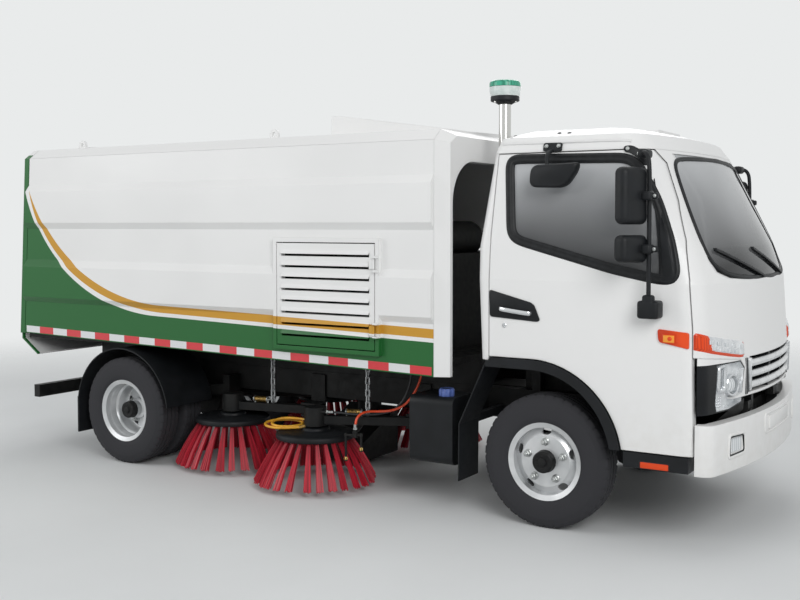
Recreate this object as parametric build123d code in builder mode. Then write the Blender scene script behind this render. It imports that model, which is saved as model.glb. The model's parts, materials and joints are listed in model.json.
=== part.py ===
from build123d import *
import os
from collections import namedtuple
from math import atan2, cos, hypot, radians, sin, tan

os.makedirs("parts", exist_ok=True)

# Whole truck: x runs forward, y to the left, z up from the ground
WHEELBASE = 3308.0
FRONT_OVERHANG = 1100.0
REAR_OVERHANG = 1120.0
FRONT_AXLE = (WHEELBASE + REAR_OVERHANG - FRONT_OVERHANG) / 2
REAR_AXLE = FRONT_AXLE - WHEELBASE

# Clearances
RUNNING_CLEARANCE = 0.3
PANEL_GAP = 6.0
GLASS_CLEARANCE = 0.3

# Wheels
TYRE_DIAMETER = 775.0
TYRE_WIDTH = 200.0
TREAD_WIDTH = 146.0
TYRE_BULGE_DIAMETER = 610.0
BEAD_DIAMETER = 406.0
BEAD_WIDTH = 140.0
RIM_FLANGE_DIAMETER = 450.0
RIM_FLANGE_WIDTH = 176.0
RIM_WALL = 8.0
FRONT_TRACK = 1668.0
REAR_TRACK = 1558.0
TWIN_SPACING = 240.0
AXLE_HEIGHT = TYRE_DIAMETER / 2
HAND_HOLES = 5
FRONT_HOLE_RADIUS = 172.0
FRONT_HOLE_DIAMETER = 38.0
FRONT_FACE_OFFSET = 66.0
FRONT_HUB_DIAMETER = 120.0
FRONT_HUB_END = 112.0
FRONT_SPINDLE_DIAMETER = 55.4
FRONT_DRUM_DIAMETER = 300.0
FRONT_DRUM_INNER = -70.0
REAR_HOLE_RADIUS = 142.0
REAR_HOLE_DIAMETER = 40.0
REAR_HUB_DIAMETER = 150.0
REAR_HUB_END = 175.0
REAR_SPINDLE_DIAMETER = 80.0
REAR_DRUM_DIAMETER = 320.0
REAR_DRUM_INNER = -160.0
DISC_THICKNESS = 12.0

# Frame and axles
FRAME_WIDTH = 750.0
FRAME_TOP = 700.0
RAIL_DEPTH = 180.0
RAIL_FLANGE = 65.0
RAIL_THICKNESS = 7.0
RAIL_FRONT = 1020.0
RAIL_REAR = 890.0
MEMBER_WIDTH = 80.0
MEMBER_DEPTH = 65.0
KINGPIN_TRACK = 1400.0
KINGPIN_DIAMETER = 36.0
KINGPIN_BOSS_DIAMETER = 76.0
KINGPIN_BOSS_HEIGHT = 76.0
KNUCKLE_GAP = 5.5
KNUCKLE_LUG = 25.0
BEAM_WIDTH = 80.0
BEAM_DEPTH = 70.0
BEAM_DROP = 92.0
AXLE_TUBE_DIAMETER = 110.0
BANJO_DIAMETER = 320.0
BANJO_WIDTH = 240.0
SPRING_WIDTH = 70.0
FRONT_SPRING_LENGTH = 1000.0
FRONT_SPRING_THICKNESS = 60.0
FRONT_SPRING_CAMBER = 60.0
REAR_SPRING_LENGTH = 1150.0
REAR_SPRING_THICKNESS = 80.0
REAR_SPRING_CAMBER = 50.0
REAR_SPRING_TRACK = 930.0
SHAFT_DIAMETER = 80.0

# Engine and gearbox under the cab
ENGINE_LENGTH = 850.0
ENGINE_WIDTH = 540.0
ENGINE_BOTTOM = 470.0
ENGINE_TOP = 930.0
ENGINE_REAR = -420.0
GEARBOX_LENGTH = 560.0
GEARBOX_WIDTH = 300.0
GEARBOX_BOTTOM = 480.0
GEARBOX_TOP = 680.0

# Cab, stations measured ahead of the front axle
CAB_WALL = 45.0
CAB_FLOOR_TOP = 985.0
CAB_FLOOR_THICKNESS = 30.0
CAB_FLOOR_WIDTH = 1850.0
CAB_REAR_BOTTOM = 960.0
CAB_FRONT_BOTTOM = 800.0
CAB_SPLIT = 2156.0
TUNNEL_WIDTH = 840.0
FOOTWELL_REAR = 455.0
FOOTWELL_BOTTOM = 535.0
FOOTWELL_FRONT = 940.0
DOOR_SWEEP_REAR = 735.0
DOOR_SWEEP_FRONT = 890.0
DOOR_SWEEP_OFFSET = 885.0
DOOR_SWEEP_TOP = 650.0
ARCH_STATION = -60.0
ARCH_HEIGHT = 435.0
ARCH_RADIUS = 548.0
ARCH_TRIM_WIDTH = 56.0
DOOR_BOTTOM = 522.0
DOOR_REAR = -320.0
GLASS_THICKNESS = 6.0
TILT_STATION = 985.0
TILT_HEIGHT = 722.0
TILT_PIN_DIAMETER = 30.0
TILT_LUG = 40.0
TILT_LUG_OFFSET = 260.0

CabSection = namedtuple("CabSection", "height half_width front corner rear radius roof")
CAB_SECTIONS = [
    CabSection(500.0, 978.0, 1060.0, 905.0, -385.0, 130.0, 0),
    CabSection(960.0, 985.0, 1085.0, 905.0, -385.0, 130.0, 0),
    CabSection(1430.0, 985.0, 1050.0, 880.0, -405.0, 140.0, 0),
    CabSection(1620.0, 970.0, 980.0, 815.0, -409.0, 150.0, 0),
    CabSection(2170.0, 900.0, 690.0, 560.0, -340.0, 150.0, 0),
    CabSection(2245.0, 862.0, 635.0, 510.0, -318.0, 150.0, 1),
    CabSection(2292.0, 720.0, 450.0, 350.0, -190.0, 130.0, 1),
]
CAB_REAR_RADIUS = 55.0

# Sweeper body, stations measured ahead of the front axle
BODY_WIDTH = 2050.0
BODY_FRONT = -690.0
BODY_HOOP_DEPTH = 90.0
BODY_HOOP_INSET = 42.0
BODY_SIDE_TOP = 2250.0
BODY_ROOF_EDGE = 2318.0
BODY_ROOF_EDGE_WIDTH = 1810.0
BODY_ROOF_TOP = 2345.0
BODY_BOTTOM_FRONT = 832.0
BODY_BOTTOM_REAR = 905.0
BODY_WALL = 40.0
RIB_DEPTH = 34.0
TAIL_THICKNESS = 50.0
TAIL_LEAN = 3.6
TAIL_LOW = 900.0
LIP_DEPTH = 160.0
LIP_REACH = 175.0
LIP_THICKNESS = 12.0
FLOOR_BOTTOM = 870.0
FLOOR_THICKNESS = 40.0
BULKHEAD_STATION = -1960.0
BULKHEAD_THICKNESS = 40.0
HOOP_OPENING_WIDTH = 1840.0
HOOP_OPENING_TOP = 2130.0
HOOP_OPENING_RADIUS = 260.0
HOOD_FRONT = -760.0
HOOD_REAR = -1676.0
HOOD_WIDTH = 1300.0
HOOD_HEIGHT = 120.0
LOUVRE_FRONT = -1087.0
LOUVRE_LENGTH = 769.0
LOUVRE_BOTTOM = 962.0
LOUVRE_HEIGHT = 670.0
LOUVRE_THICKNESS = 40.0
LOUVRE_SLOTS = 8
LOUVRE_SLOT_LENGTH = 684.0
LOUVRE_SLOT_HEIGHT = 26.0
LOUVRE_PITCH = 74.0
LOUVRE_BLADE_REACH = 14.0
HINGE_PIN_DIAMETER = 8.0
HINGE_TUBE_DIAMETER = 16.0
HINGE_TUBE_LENGTH = 60.0
HINGE_STANDOFF = 14.0
TAIL_PIN_DIAMETER = 16.0
TAIL_TUBE_DIAMETER = 30.0
TAIL_TUBE_LENGTH = 60.0
TAIL_HINGE_OFFSET = 450.0
TAIL_HINGE_RISE = 16.0
EAR_WIDTH = 16.0
EAR_GAP = 5.5
EYE_STATIONS = [-2000.0, -3848.0]
EYE_SPAN = 1700.0
EYE_WIDTH = 70.0
EYE_HEIGHT = 60.0
EYE_THICKNESS = 16.0
EYE_BORE = 30.0

# Sweeping gear, stations measured ahead of the front axle
BRUSH_TUFTS = 28
BRUSH_TIP_RADIUS = 420.0
BRUSH_TIP_HEIGHT = 35.0
BRUSH_DISC_DIAMETER = 530.0
BRUSH_DISC_BOTTOM = 322.0
BRUSH_HUB_TOP = 390.0
BRUSH_SHAFT_DIAMETER = 40.0
TUFT_ROOT_RADIUS = 228.0
TUFT_ROOT_WIDTH = 26.0
TUFT_TIP_WIDTH = 56.0
TUFT_THICKNESS = 30.0
MOTOR_DIAMETER = 150.0
MOTOR_BOTTOM = 400.0
MOTOR_TOP = 525.0
ARM_WIDTH = 70.0
ARM_BOTTOM = 412.0
ARM_TOP = 468.0
PIVOT_DIAMETER = 40.0
PIVOT_BOSS_DIAMETER = 90.0
PIVOT_OFFSET = 470.0
BRACKET_PLATE = 15.0
BRACKET_LENGTH = 120.0
LINK_LENGTH = 60.0
LINK_WIDTH = 36.0
LINK_BAR = 9.0
LINK_SLACK = 0.4
LINK_COUNT = 9
CHAIN_SHARE = 0.52
NOZZLE_STATION = -1935.0
NOZZLE_LENGTH = 430.0
NOZZLE_WIDTH = 500.0
NOZZLE_BOTTOM = 45.0
NOZZLE_TOP = 380.0
DUCT_DIAMETER = 180.0
DUCT_OFFSET = 190.0

# Hoses and spray pipe of the front right brush, from the arm's pivot: along the arm, out from it, height
SPRAY_HOSE_DIAMETER = 16.0
HYDRAULIC_HOSE_DIAMETER = 16.0
HOSE_FITTING_DIAMETER = 26.0
HOSE_FITTING_LENGTH = 36.0
SPRAY_BAR_STATION = 374.0
SPRAY_BAR_WIDTH = 34.0
SPRAY_BAR_THICKNESS = 8.0
SPRAY_PIPE_OFFSET = 245.0
SPRAY_PIPE_HEIGHT = 388.0
SPRAY_PIPE_DIAMETER = 16.0
SPRAY_TEE_DIAMETER = 30.0
SPRAY_TEE_TOP = 424.0
SPRAY_TEE_BOTTOM = 372.0
SPRAY_ELBOW_DIAMETER = 22.0
SPRAY_ELBOW_HEIGHT = 26.0
SPRAY_NOZZLE_DIAMETER = 24.0
SPRAY_NOZZLE_LENGTH = 24.0
SprayDrop = namedtuple("SprayDrop", "station end")
SPRAY_DROPS = [SprayDrop(436.0, 219.0), SprayDrop(336.0, 281.0)]
COIL_LENGTH = 300.0
COIL_WIDTH = 230.0
COIL_BAND = 32.0
COIL_HEIGHT = 408.0
COIL_TILT = -6.0
COIL_CLEARANCE = 0.6
COIL_HEADING = (-0.96, -0.28)

BrushStation = namedtuple("BrushStation", "name pivot station offset")
BRUSHES = [
    BrushStation("front", -1120.0, -1740.0, 760.0),
    BrushStation("rear", -1990.0, -2600.0, 600.0),
]


def ahead(distance):
    return FRONT_AXLE + distance


def stations(points):
    return [(ahead(point[0]), point[1]) for point in points]


def block(x_range, y_range, z_range):
    with BuildPart() as solid:
        centre = [(low + high) / 2 for low, high in (x_range, y_range, z_range)]
        with Locations(tuple(centre)):
            Box(x_range[1] - x_range[0], y_range[1] - y_range[0], z_range[1] - z_range[0])
    return solid.part


def side_prism(points, near, far):
    with BuildPart() as solid:
        with BuildSketch(Plane.XZ.offset(near)):
            with BuildLine():
                Polyline(*points, close=True)
            make_face()
        extrude(amount=far - near)
    return solid.part


def front_prism(points, rear, front):
    with BuildPart() as solid:
        with BuildSketch(Plane.YZ.offset(rear)):
            with BuildLine():
                Polyline(*points, close=True)
            make_face()
        extrude(amount=front - rear)
    return solid.part


def post(centre, diameter, low, high):
    with BuildPart() as solid:
        with BuildSketch(Plane.XY.offset(low)):
            with Locations(centre):
                Circle(diameter / 2)
        extrude(amount=high - low)
    return solid.part


def cross_rod(x, z, diameter, near, far):
    with BuildPart() as solid:
        with BuildSketch(Plane.XZ.offset(near)):
            with Locations((x, z)):
                Circle(diameter / 2)
        extrude(amount=far - near)
    return solid.part


def turned(plane, points, axis):
    with BuildPart() as solid:
        with BuildSketch(plane):
            with BuildLine():
                Polyline(*points, close=True)
            make_face()
        revolve(axis=axis)
    return solid.part


def fused(pieces):
    with BuildPart() as whole:
        for piece in pieces:
            add(piece)
    return whole.part


def cut(piece, tools):
    with BuildPart() as rest:
        add(piece)
        for tool in tools:
            add(tool, mode=Mode.SUBTRACT)
    return rest.part


def common(piece, tool):
    with BuildPart() as overlap:
        add(piece)
        add(tool, mode=Mode.INTERSECT)
    return overlap.part


def left_of(piece):
    return mirror(piece, about=Plane.XZ)


def hose(points, diameter):
    radii = []
    for before, corner, after in zip(points, points[1:], points[2:]):
        arriving = Vector(*corner) - Vector(*before)
        leaving = Vector(*after) - Vector(*corner)
        half_turn = radians(arriving.get_angle(leaving)) / 2
        radii.append(0.45 * min(arriving.length, leaving.length) / tan(half_turn))
    print("hose bend radii", [round(radius) for radius in radii])
    with BuildPart() as tube:
        with BuildLine() as route:
            FilletPolyline(*points, radius=radii)
        with BuildSketch(route.line ^ 0):
            Circle(diameter / 2)
        sweep(path=route.line)
    return tube.part


def keep(piece, name):
    piece.label = name
    export_step(piece, f"parts/{name}.step")


def keep_pair(piece, name):
    keep(piece, f"{name}_right")
    keep(left_of(piece), f"{name}_left")


def keep_both(piece, name):
    keep(Compound(children=list(piece.solids()) + list(left_of(piece).solids())), name)


# Wheels
def wheel_plane(x, offset):
    return Plane(origin=(x, -offset, AXLE_HEIGHT), x_dir=(0, -1, 0), z_dir=(-1, 0, 0))


def wheel_part(plane, points):
    return turned(plane, points, Axis(plane.origin, plane.x_dir))


def tyre_points(centre):
    half_bead = BEAD_WIDTH / 2
    half_width = TYRE_WIDTH / 2
    half_tread = TREAD_WIDTH / 2
    return [
        (centre - half_bead, BEAD_DIAMETER / 2),
        (centre - half_width, TYRE_BULGE_DIAMETER / 2),
        (centre - half_tread, TYRE_DIAMETER / 2),
        (centre + half_tread, TYRE_DIAMETER / 2),
        (centre + half_width, TYRE_BULGE_DIAMETER / 2),
        (centre + half_bead, BEAD_DIAMETER / 2),
    ]


def barrel_points(centre):
    half_bead = BEAD_WIDTH / 2 + RUNNING_CLEARANCE
    half_lip = RIM_FLANGE_WIDTH / 2
    bead = BEAD_DIAMETER / 2
    lip = RIM_FLANGE_DIAMETER / 2
    inner = bead - RIM_WALL
    slope = (TYRE_WIDTH - BEAD_WIDTH) / (TYRE_BULGE_DIAMETER - BEAD_DIAMETER)
    lip_inner = half_bead + (lip - bead) * slope + RUNNING_CLEARANCE
    return [
        (centre - half_lip, lip),
        (centre - lip_inner, lip),
        (centre - half_bead, bead),
        (centre + half_bead, bead),
        (centre + lip_inner, lip),
        (centre + half_lip, lip),
        (centre + half_bead + RIM_WALL, inner),
        (centre - half_bead - RIM_WALL, inner),
    ]


def hand_holes(x, offset, start, depth, radius, diameter):
    with BuildPart() as holes:
        face = Plane(origin=(x, -offset - start, AXLE_HEIGHT), x_dir=(1, 0, 0), z_dir=(0, -1, 0))
        with BuildSketch(face):
            with PolarLocations(radius, HAND_HOLES, start_angle=90):
                SlotOverall(diameter * 1.5, diameter, rotation=90)
        extrude(amount=depth)
    return holes.part


front_plane = wheel_plane(FRONT_AXLE, FRONT_TRACK / 2)
keep_pair(wheel_part(front_plane, tyre_points(0.0)), "tyre_front")

barrel_inner = BEAD_DIAMETER / 2 - RIM_WALL / 2
front_disc = [
    (FRONT_FACE_OFFSET - 40.0, barrel_inner),
    (FRONT_FACE_OFFSET, 148.0),
    (FRONT_FACE_OFFSET, 20.0),
    (FRONT_FACE_OFFSET - DISC_THICKNESS, 20.0),
    (FRONT_FACE_OFFSET - DISC_THICKNESS, 144.0),
    (FRONT_FACE_OFFSET - 52.0, barrel_inner),
]
front_bore = FRONT_SPINDLE_DIAMETER / 2 + RUNNING_CLEARANCE
FRONT_BORE_END = 46.0
front_hub = [
    (FRONT_DRUM_INNER, front_bore),
    (FRONT_DRUM_INNER, FRONT_DRUM_DIAMETER / 2),
    (5.0, FRONT_DRUM_DIAMETER / 2),
    (5.0, 90.0),
    (FRONT_FACE_OFFSET - DISC_THICKNESS, 90.0),
    (FRONT_FACE_OFFSET, FRONT_HUB_DIAMETER / 2),
    (FRONT_HUB_END - 14.0, FRONT_HUB_DIAMETER / 2 - 4.0),
    (FRONT_HUB_END, FRONT_HUB_DIAMETER / 2 - 20.0),
    (FRONT_HUB_END, 0.0),
    (FRONT_BORE_END, 0.0),
    (FRONT_BORE_END, front_bore),
]
front_rim = cut(
    fused(wheel_part(front_plane, points) for points in (barrel_points(0.0), front_disc, front_hub)),
    [hand_holes(FRONT_AXLE, FRONT_TRACK / 2, 10.0, 80.0, FRONT_HOLE_RADIUS, FRONT_HOLE_DIAMETER)],
)
keep_pair(front_rim, "rim_front")

rear_plane = wheel_plane(REAR_AXLE, REAR_TRACK / 2)
twin = TWIN_SPACING / 2
keep_pair(fused(wheel_part(rear_plane, tyre_points(side * twin)) for side in (-1, 1)), "tyres_rear")

rear_bore = REAR_SPINDLE_DIAMETER / 2 + RUNNING_CLEARANCE
REAR_BORE_END = 100.0
rear_pieces = []
for side in (-1, 1):
    rear_pieces.append(wheel_part(rear_plane, barrel_points(side * twin)))
    rear_disc = [
        (side * 68.0, barrel_inner),
        (side * DISC_THICKNESS, 172.0),
        (side * DISC_THICKNESS, 70.0),
        (0.0, 70.0),
        (0.0, 178.0),
        (side * 56.0, barrel_inner),
    ]
    rear_pieces.append(wheel_part(rear_plane, rear_disc))
rear_hub = [
    (REAR_DRUM_INNER, rear_bore),
    (REAR_DRUM_INNER, REAR_DRUM_DIAMETER / 2),
    (-60.0, REAR_DRUM_DIAMETER / 2),
    (-60.0, 100.0),
    (DISC_THICKNESS, 100.0),
    (20.0, REAR_HUB_DIAMETER / 2),
    (70.0, REAR_HUB_DIAMETER / 2),
    (84.0, 58.0),
    (REAR_HUB_END - 10.0, 56.0),
    (REAR_HUB_END, 44.0),
    (REAR_HUB_END, 0.0),
    (REAR_BORE_END, 0.0),
    (REAR_BORE_END, rear_bore),
]
rear_pieces.append(wheel_part(rear_plane, rear_hub))
rear_rim = cut(
    fused(rear_pieces),
    [hand_holes(REAR_AXLE, REAR_TRACK / 2, -30.0, 90.0, REAR_HOLE_RADIUS, REAR_HOLE_DIAMETER)],
)
keep_pair(rear_rim, "rims_rear")

# Front axle with its kingpin bosses, and the knuckles that turn on it
kingpin = KINGPIN_TRACK / 2
boss_low = AXLE_HEIGHT - KINGPIN_BOSS_HEIGHT / 2
boss_high = AXLE_HEIGHT + KINGPIN_BOSS_HEIGHT / 2
beam_low = AXLE_HEIGHT - BEAM_DROP
beam_high = beam_low + BEAM_DEPTH
half_beam = BEAM_WIDTH / 2
front_beam = cut(
    fused(
        [
            block(
                (FRONT_AXLE - half_beam, FRONT_AXLE + half_beam),
                (-kingpin + 90.0, kingpin - 90.0),
                (beam_low, beam_high),
            ),
            block(
                (FRONT_AXLE - 34.0, FRONT_AXLE + 34.0),
                (-kingpin, -kingpin + 110.0),
                (boss_low + 2.0, boss_high - 2.0),
            ),
            block(
                (FRONT_AXLE - 34.0, FRONT_AXLE + 34.0),
                (kingpin - 110.0, kingpin),
                (boss_low + 2.0, boss_high - 2.0),
            ),
            post((FRONT_AXLE, -kingpin), KINGPIN_BOSS_DIAMETER, boss_low, boss_high),
            post((FRONT_AXLE, kingpin), KINGPIN_BOSS_DIAMETER, boss_low, boss_high),
        ]
    ),
    [
        post((FRONT_AXLE, side * kingpin), KINGPIN_DIAMETER, boss_low - 1.0, boss_high + 1.0)
        for side in (-1, 1)
    ],
)
keep(front_beam, "front_axle")

plate_near = kingpin + KINGPIN_BOSS_DIAMETER / 2 + KNUCKLE_GAP
plate_far = FRONT_TRACK / 2 + FRONT_DRUM_INNER - KNUCKLE_GAP
lug_low = boss_low - KNUCKLE_GAP
lug_high = boss_high + KNUCKLE_GAP
lug_x = (FRONT_AXLE - 35.0, FRONT_AXLE + 35.0)
lug_y = (-plate_far, -kingpin + 35.0)
knuckle = fused(
    [
        block(lug_x, lug_y, (lug_high, lug_high + KNUCKLE_LUG)),
        block(lug_x, lug_y, (lug_low - KNUCKLE_LUG, lug_low)),
        block(lug_x, (-plate_far, -plate_near), (lug_low - KNUCKLE_LUG, lug_high + KNUCKLE_LUG)),
        post(
            (FRONT_AXLE, -kingpin), KINGPIN_DIAMETER - 2 * RUNNING_CLEARANCE, lug_low - 1.0, lug_high + 1.0
        ),
        cross_rod(
            FRONT_AXLE,
            AXLE_HEIGHT,
            FRONT_SPINDLE_DIAMETER,
            plate_far - 5.0,
            FRONT_TRACK / 2 + FRONT_BORE_END - 6.0,
        ),
        block(
            (FRONT_AXLE - 160.0, FRONT_AXLE - 30.0),
            (-kingpin - 10.0, -kingpin + 30.0),
            (lug_low - KNUCKLE_LUG, lug_low - 3.0),
        ),
    ]
)
keep_pair(knuckle, "knuckle")

# Rear axle housing with its shaft
drum_face = REAR_TRACK / 2 + REAR_DRUM_INNER - KNUCKLE_GAP
spindle_end = REAR_TRACK / 2 + REAR_BORE_END - 6.0
shaft_front = ahead(ENGINE_REAR - GEARBOX_LENGTH)
shaft_height = (GEARBOX_BOTTOM + GEARBOX_TOP) / 2
shaft_end = (REAR_AXLE + BANJO_DIAMETER / 2 - 30.0, 0.0, AXLE_HEIGHT + 20.0)
shaft_start = (shaft_front, 0.0, shaft_height)
with BuildPart() as rear_axle:
    add(cross_rod(REAR_AXLE, AXLE_HEIGHT, AXLE_TUBE_DIAMETER, -drum_face, drum_face))
    add(cross_rod(REAR_AXLE, AXLE_HEIGHT, REAR_SPINDLE_DIAMETER, -spindle_end, spindle_end))
    add(cross_rod(REAR_AXLE, AXLE_HEIGHT, BANJO_DIAMETER, -BANJO_WIDTH / 2, BANJO_WIDTH / 2))
    shaft_run = Vector(*shaft_start) - Vector(*shaft_end)
    with BuildSketch(Plane(origin=shaft_end, z_dir=shaft_run)):
        Circle(SHAFT_DIAMETER / 2)
    extrude(amount=shaft_run.length + SHAFT_DIAMETER)
    add(block((shaft_front, shaft_front + 400.0), (-100.0, 100.0), (300.0, 900.0)), mode=Mode.SUBTRACT)
keep(rear_axle.part, "rear_axle")

# Leaf springs with the hangers that meet the rails
Spring = namedtuple("Spring", "axle offset seat length thickness camber hanger_top hanger_inner")
half_frame = FRAME_WIDTH / 2
rail_bottom = FRAME_TOP - RAIL_DEPTH
rail_centre = half_frame - RAIL_FLANGE / 2
SPRINGS = [
    Spring(FRONT_AXLE, rail_centre, beam_high, FRONT_SPRING_LENGTH, FRONT_SPRING_THICKNESS,
           FRONT_SPRING_CAMBER, rail_bottom, rail_centre - SPRING_WIDTH / 2),
    Spring(REAR_AXLE, REAR_SPRING_TRACK / 2, AXLE_HEIGHT + AXLE_TUBE_DIAMETER / 2, REAR_SPRING_LENGTH,
           REAR_SPRING_THICKNESS, REAR_SPRING_CAMBER, rail_bottom + 110.0, half_frame),
]


def leaf_spring(spring):
    half = spring.length / 2
    with BuildPart() as leaf:
        with BuildSketch(Plane.XZ.offset(spring.offset)):
            with BuildLine():
                low_ends = spring.seat + spring.camber
                high = spring.seat + spring.thickness
                ThreePointArc(
                    (spring.axle - half, low_ends),
                    (spring.axle, spring.seat),
                    (spring.axle + half, low_ends),
                )
                Line((spring.axle + half, low_ends), (spring.axle + half, low_ends + spring.thickness))
                ThreePointArc((spring.axle + half, low_ends + spring.thickness), (spring.axle, high),
                              (spring.axle - half, low_ends + spring.thickness))
                Line((spring.axle - half, low_ends + spring.thickness), (spring.axle - half, low_ends))
            make_face()
        extrude(amount=SPRING_WIDTH / 2, both=True)
        for end in (-1, 1):
            hanger = spring.axle + end * (half - 20.0)
            add(
                block(
                    (hanger - 30.0, hanger + 30.0),
                    (-spring.offset - SPRING_WIDTH / 2, -spring.hanger_inner),
                    (low_ends + 5.0, spring.hanger_top),
                )
            )
    return leaf.part


springs = [leaf_spring(spring) for spring in SPRINGS]
spring_set = []
for spring in springs:
    spring_set.extend(spring.solids())
    spring_set.extend(left_of(spring).solids())
keep(Compound(children=spring_set), "leaf_springs")

# Frame rails, and the members, pivot brackets and towing lugs on them
rail_front = ahead(RAIL_FRONT)
rail_rear = REAR_AXLE - RAIL_REAR
rail_inner = half_frame - RAIL_FLANGE
rail_points = [
    (-half_frame, rail_bottom),
    (-rail_inner, rail_bottom),
    (-rail_inner, rail_bottom + RAIL_THICKNESS),
    (-half_frame + RAIL_THICKNESS, rail_bottom + RAIL_THICKNESS),
    (-half_frame + RAIL_THICKNESS, FRAME_TOP - RAIL_THICKNESS),
    (-rail_inner, FRAME_TOP - RAIL_THICKNESS),
    (-rail_inner, FRAME_TOP),
    (-half_frame, FRAME_TOP),
]
keep_both(front_prism(rail_points, rail_rear, rail_front), "frame_rails")

MEMBER_STATIONS = [900.0, -1180.0, -2350.0, -3020.0, -3640.0, -4130.0]
member_half = half_frame - RAIL_THICKNESS
member_z = (FRAME_TOP - RAIL_THICKNESS - MEMBER_DEPTH, FRAME_TOP - RAIL_THICKNESS)
members = [
    block(
        (ahead(station) - MEMBER_WIDTH / 2, ahead(station) + MEMBER_WIDTH / 2),
        (-member_half, member_half),
        member_z,
    )
    for station in MEMBER_STATIONS
]
arm_gap = 5.5
bracket_low = ARM_BOTTOM - arm_gap - BRACKET_PLATE
bracket_high = ARM_TOP + arm_gap + BRACKET_PLATE


def pivot_bracket(brush):
    x = ahead(brush.pivot)
    x_range = (x - BRACKET_LENGTH / 2, x + BRACKET_LENGTH / 2)
    reach = (-PIVOT_OFFSET - PIVOT_BOSS_DIAMETER / 2, -half_frame)
    return fused(
        [
            block(x_range, (-half_frame - BRACKET_PLATE, -half_frame), (bracket_low, FRAME_TOP - 20.0)),
            block(x_range, reach, (bracket_low, bracket_low + BRACKET_PLATE)),
            block(x_range, reach, (bracket_high - BRACKET_PLATE, bracket_high)),
            post((x, -PIVOT_OFFSET), PIVOT_DIAMETER, bracket_low, bracket_high),
        ]
    )


brackets = [pivot_bracket(brush) for brush in BRUSHES]
bracket_set = []
for bracket in brackets:
    bracket_set.extend(bracket.solids())
    bracket_set.extend(left_of(bracket).solids())
member_set = []
for member in members:
    member_set.extend(member.solids())
tilt_x = (ahead(TILT_STATION) - 25.0, ahead(TILT_STATION) + 25.0)
pin_end = TILT_LUG_OFFSET - 10.0
tilt_bracket = fused(
    [
        block(tilt_x, (-half_frame, -rail_inner), (FRAME_TOP, TILT_HEIGHT + 25.0)),
        cross_rod(ahead(TILT_STATION), TILT_HEIGHT, TILT_PIN_DIAMETER, pin_end, half_frame),
    ]
)
CAB_SUPPORT_STATION = -300.0
cab_support = block(
    (ahead(CAB_SUPPORT_STATION) - 30.0, ahead(CAB_SUPPORT_STATION) + 30.0),
    (-half_frame, -rail_inner),
    (FRAME_TOP, CAB_FLOOR_TOP - CAB_FLOOR_THICKNESS - PANEL_GAP),
)
for piece in (tilt_bracket, cab_support):
    bracket_set.extend(piece.solids())
    bracket_set.extend(left_of(piece).solids())
keep(Compound(children=member_set + bracket_set), "frame_members")

# Engine block with gearbox
engine_front = ahead(ENGINE_REAR + ENGINE_LENGTH)
gearbox_x = (shaft_front, ahead(ENGINE_REAR))
engine = fused(
    [
        block(
            (ahead(ENGINE_REAR), engine_front),
            (-ENGINE_WIDTH / 2, ENGINE_WIDTH / 2),
            (ENGINE_BOTTOM, ENGINE_TOP),
        ),
        block(gearbox_x, (-GEARBOX_WIDTH / 2, GEARBOX_WIDTH / 2), (GEARBOX_BOTTOM, GEARBOX_TOP)),
        block(
            (ahead(-60.0), ahead(60.0)),
            (-rail_inner, rail_inner),
            (rail_bottom + 40.0, rail_bottom + 120.0),
        ),
    ]
)
keep(engine, "engine")


# Cab form: level sections with a bowed front, inset by a wall or a reveal
def cab_form(inset):
    with BuildPart() as form:
        for section in CAB_SECTIONS:
            height = section.height - inset * section.roof
            if section is CAB_SECTIONS[0]:
                height = section.height - inset
            half = section.half_width - inset
            front = ahead(section.front - inset)
            corner = ahead(section.corner - inset)
            rear = ahead(section.rear + inset)
            with BuildSketch(Plane.XY.offset(height)) as outline:
                with BuildLine():
                    ThreePointArc((corner, half), (front, 0.0), (corner, -half))
                    Polyline((corner, -half), (rear, -half), (rear, half), (corner, half))
                make_face()
                fillet(outline.vertices().group_by(Axis.X)[-1], max(section.radius - inset, 60.0))
                fillet(outline.vertices().group_by(Axis.X)[0], max(CAB_REAR_RADIUS - inset, 10.0))
        loft(ruled=True)
    return form.part


DOOR_FRONT_SEAM = [
    (871.0, DOOR_BOTTOM),
    (858.0, 1196.0),
    (838.0, 1454.0),
    (800.0, 1660.0),
    (728.0, 1873.0),
    (640.0, 2080.0),
    (590.0, 2150.0),
]
DOOR_REAR_SEAM = [(-300.0, 2150.0), (DOOR_REAR, 1690.0), (DOOR_REAR, ARCH_HEIGHT + ARCH_RADIUS)]
DOOR_WINDOW = [
    (-232.0, 2122.0),
    (470.0, 2108.0),
    (530.0, 2078.0),
    (650.0, 1873.0),
    (735.0, 1650.0),
    (775.0, 1480.0),
    (764.0, 1452.0),
    (690.0, 1452.0),
    (430.0, 1502.0),
    (-170.0, 1660.0),
    (-196.0, 1690.0),
]
WINDSCREEN = [
    (640.0, 2138.0),
    (785.0, 1873.0),
    (862.0, 1660.0),
    (890.0, 1560.0),
    (925.0, 1490.0),
    (965.0, 1455.0),
    (1015.0, 1440.0),
    (1250.0, 1440.0),
    (1250.0, 2138.0),
]
HEADLAMP = [
    (-1010.0, 790.0), (-700.0, 795.0), (-560.0, 822.0), (-540.0, 960.0), (-590.0, 1010.0), (-1010.0, 1050.0)
]
GRILLE_HALF_WIDTH = 480.0
GRILLE_BOTTOM = 815.0
GRILLE_TOP = 1015.0
GRILLE_SLATS = 3
SLAT_HEIGHT = 42.0
TURN_LAMP = [(884.0, 1098.0), (1010.0, 1082.0), (1030.0, 1160.0), (884.0, 1200.0)]


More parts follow.
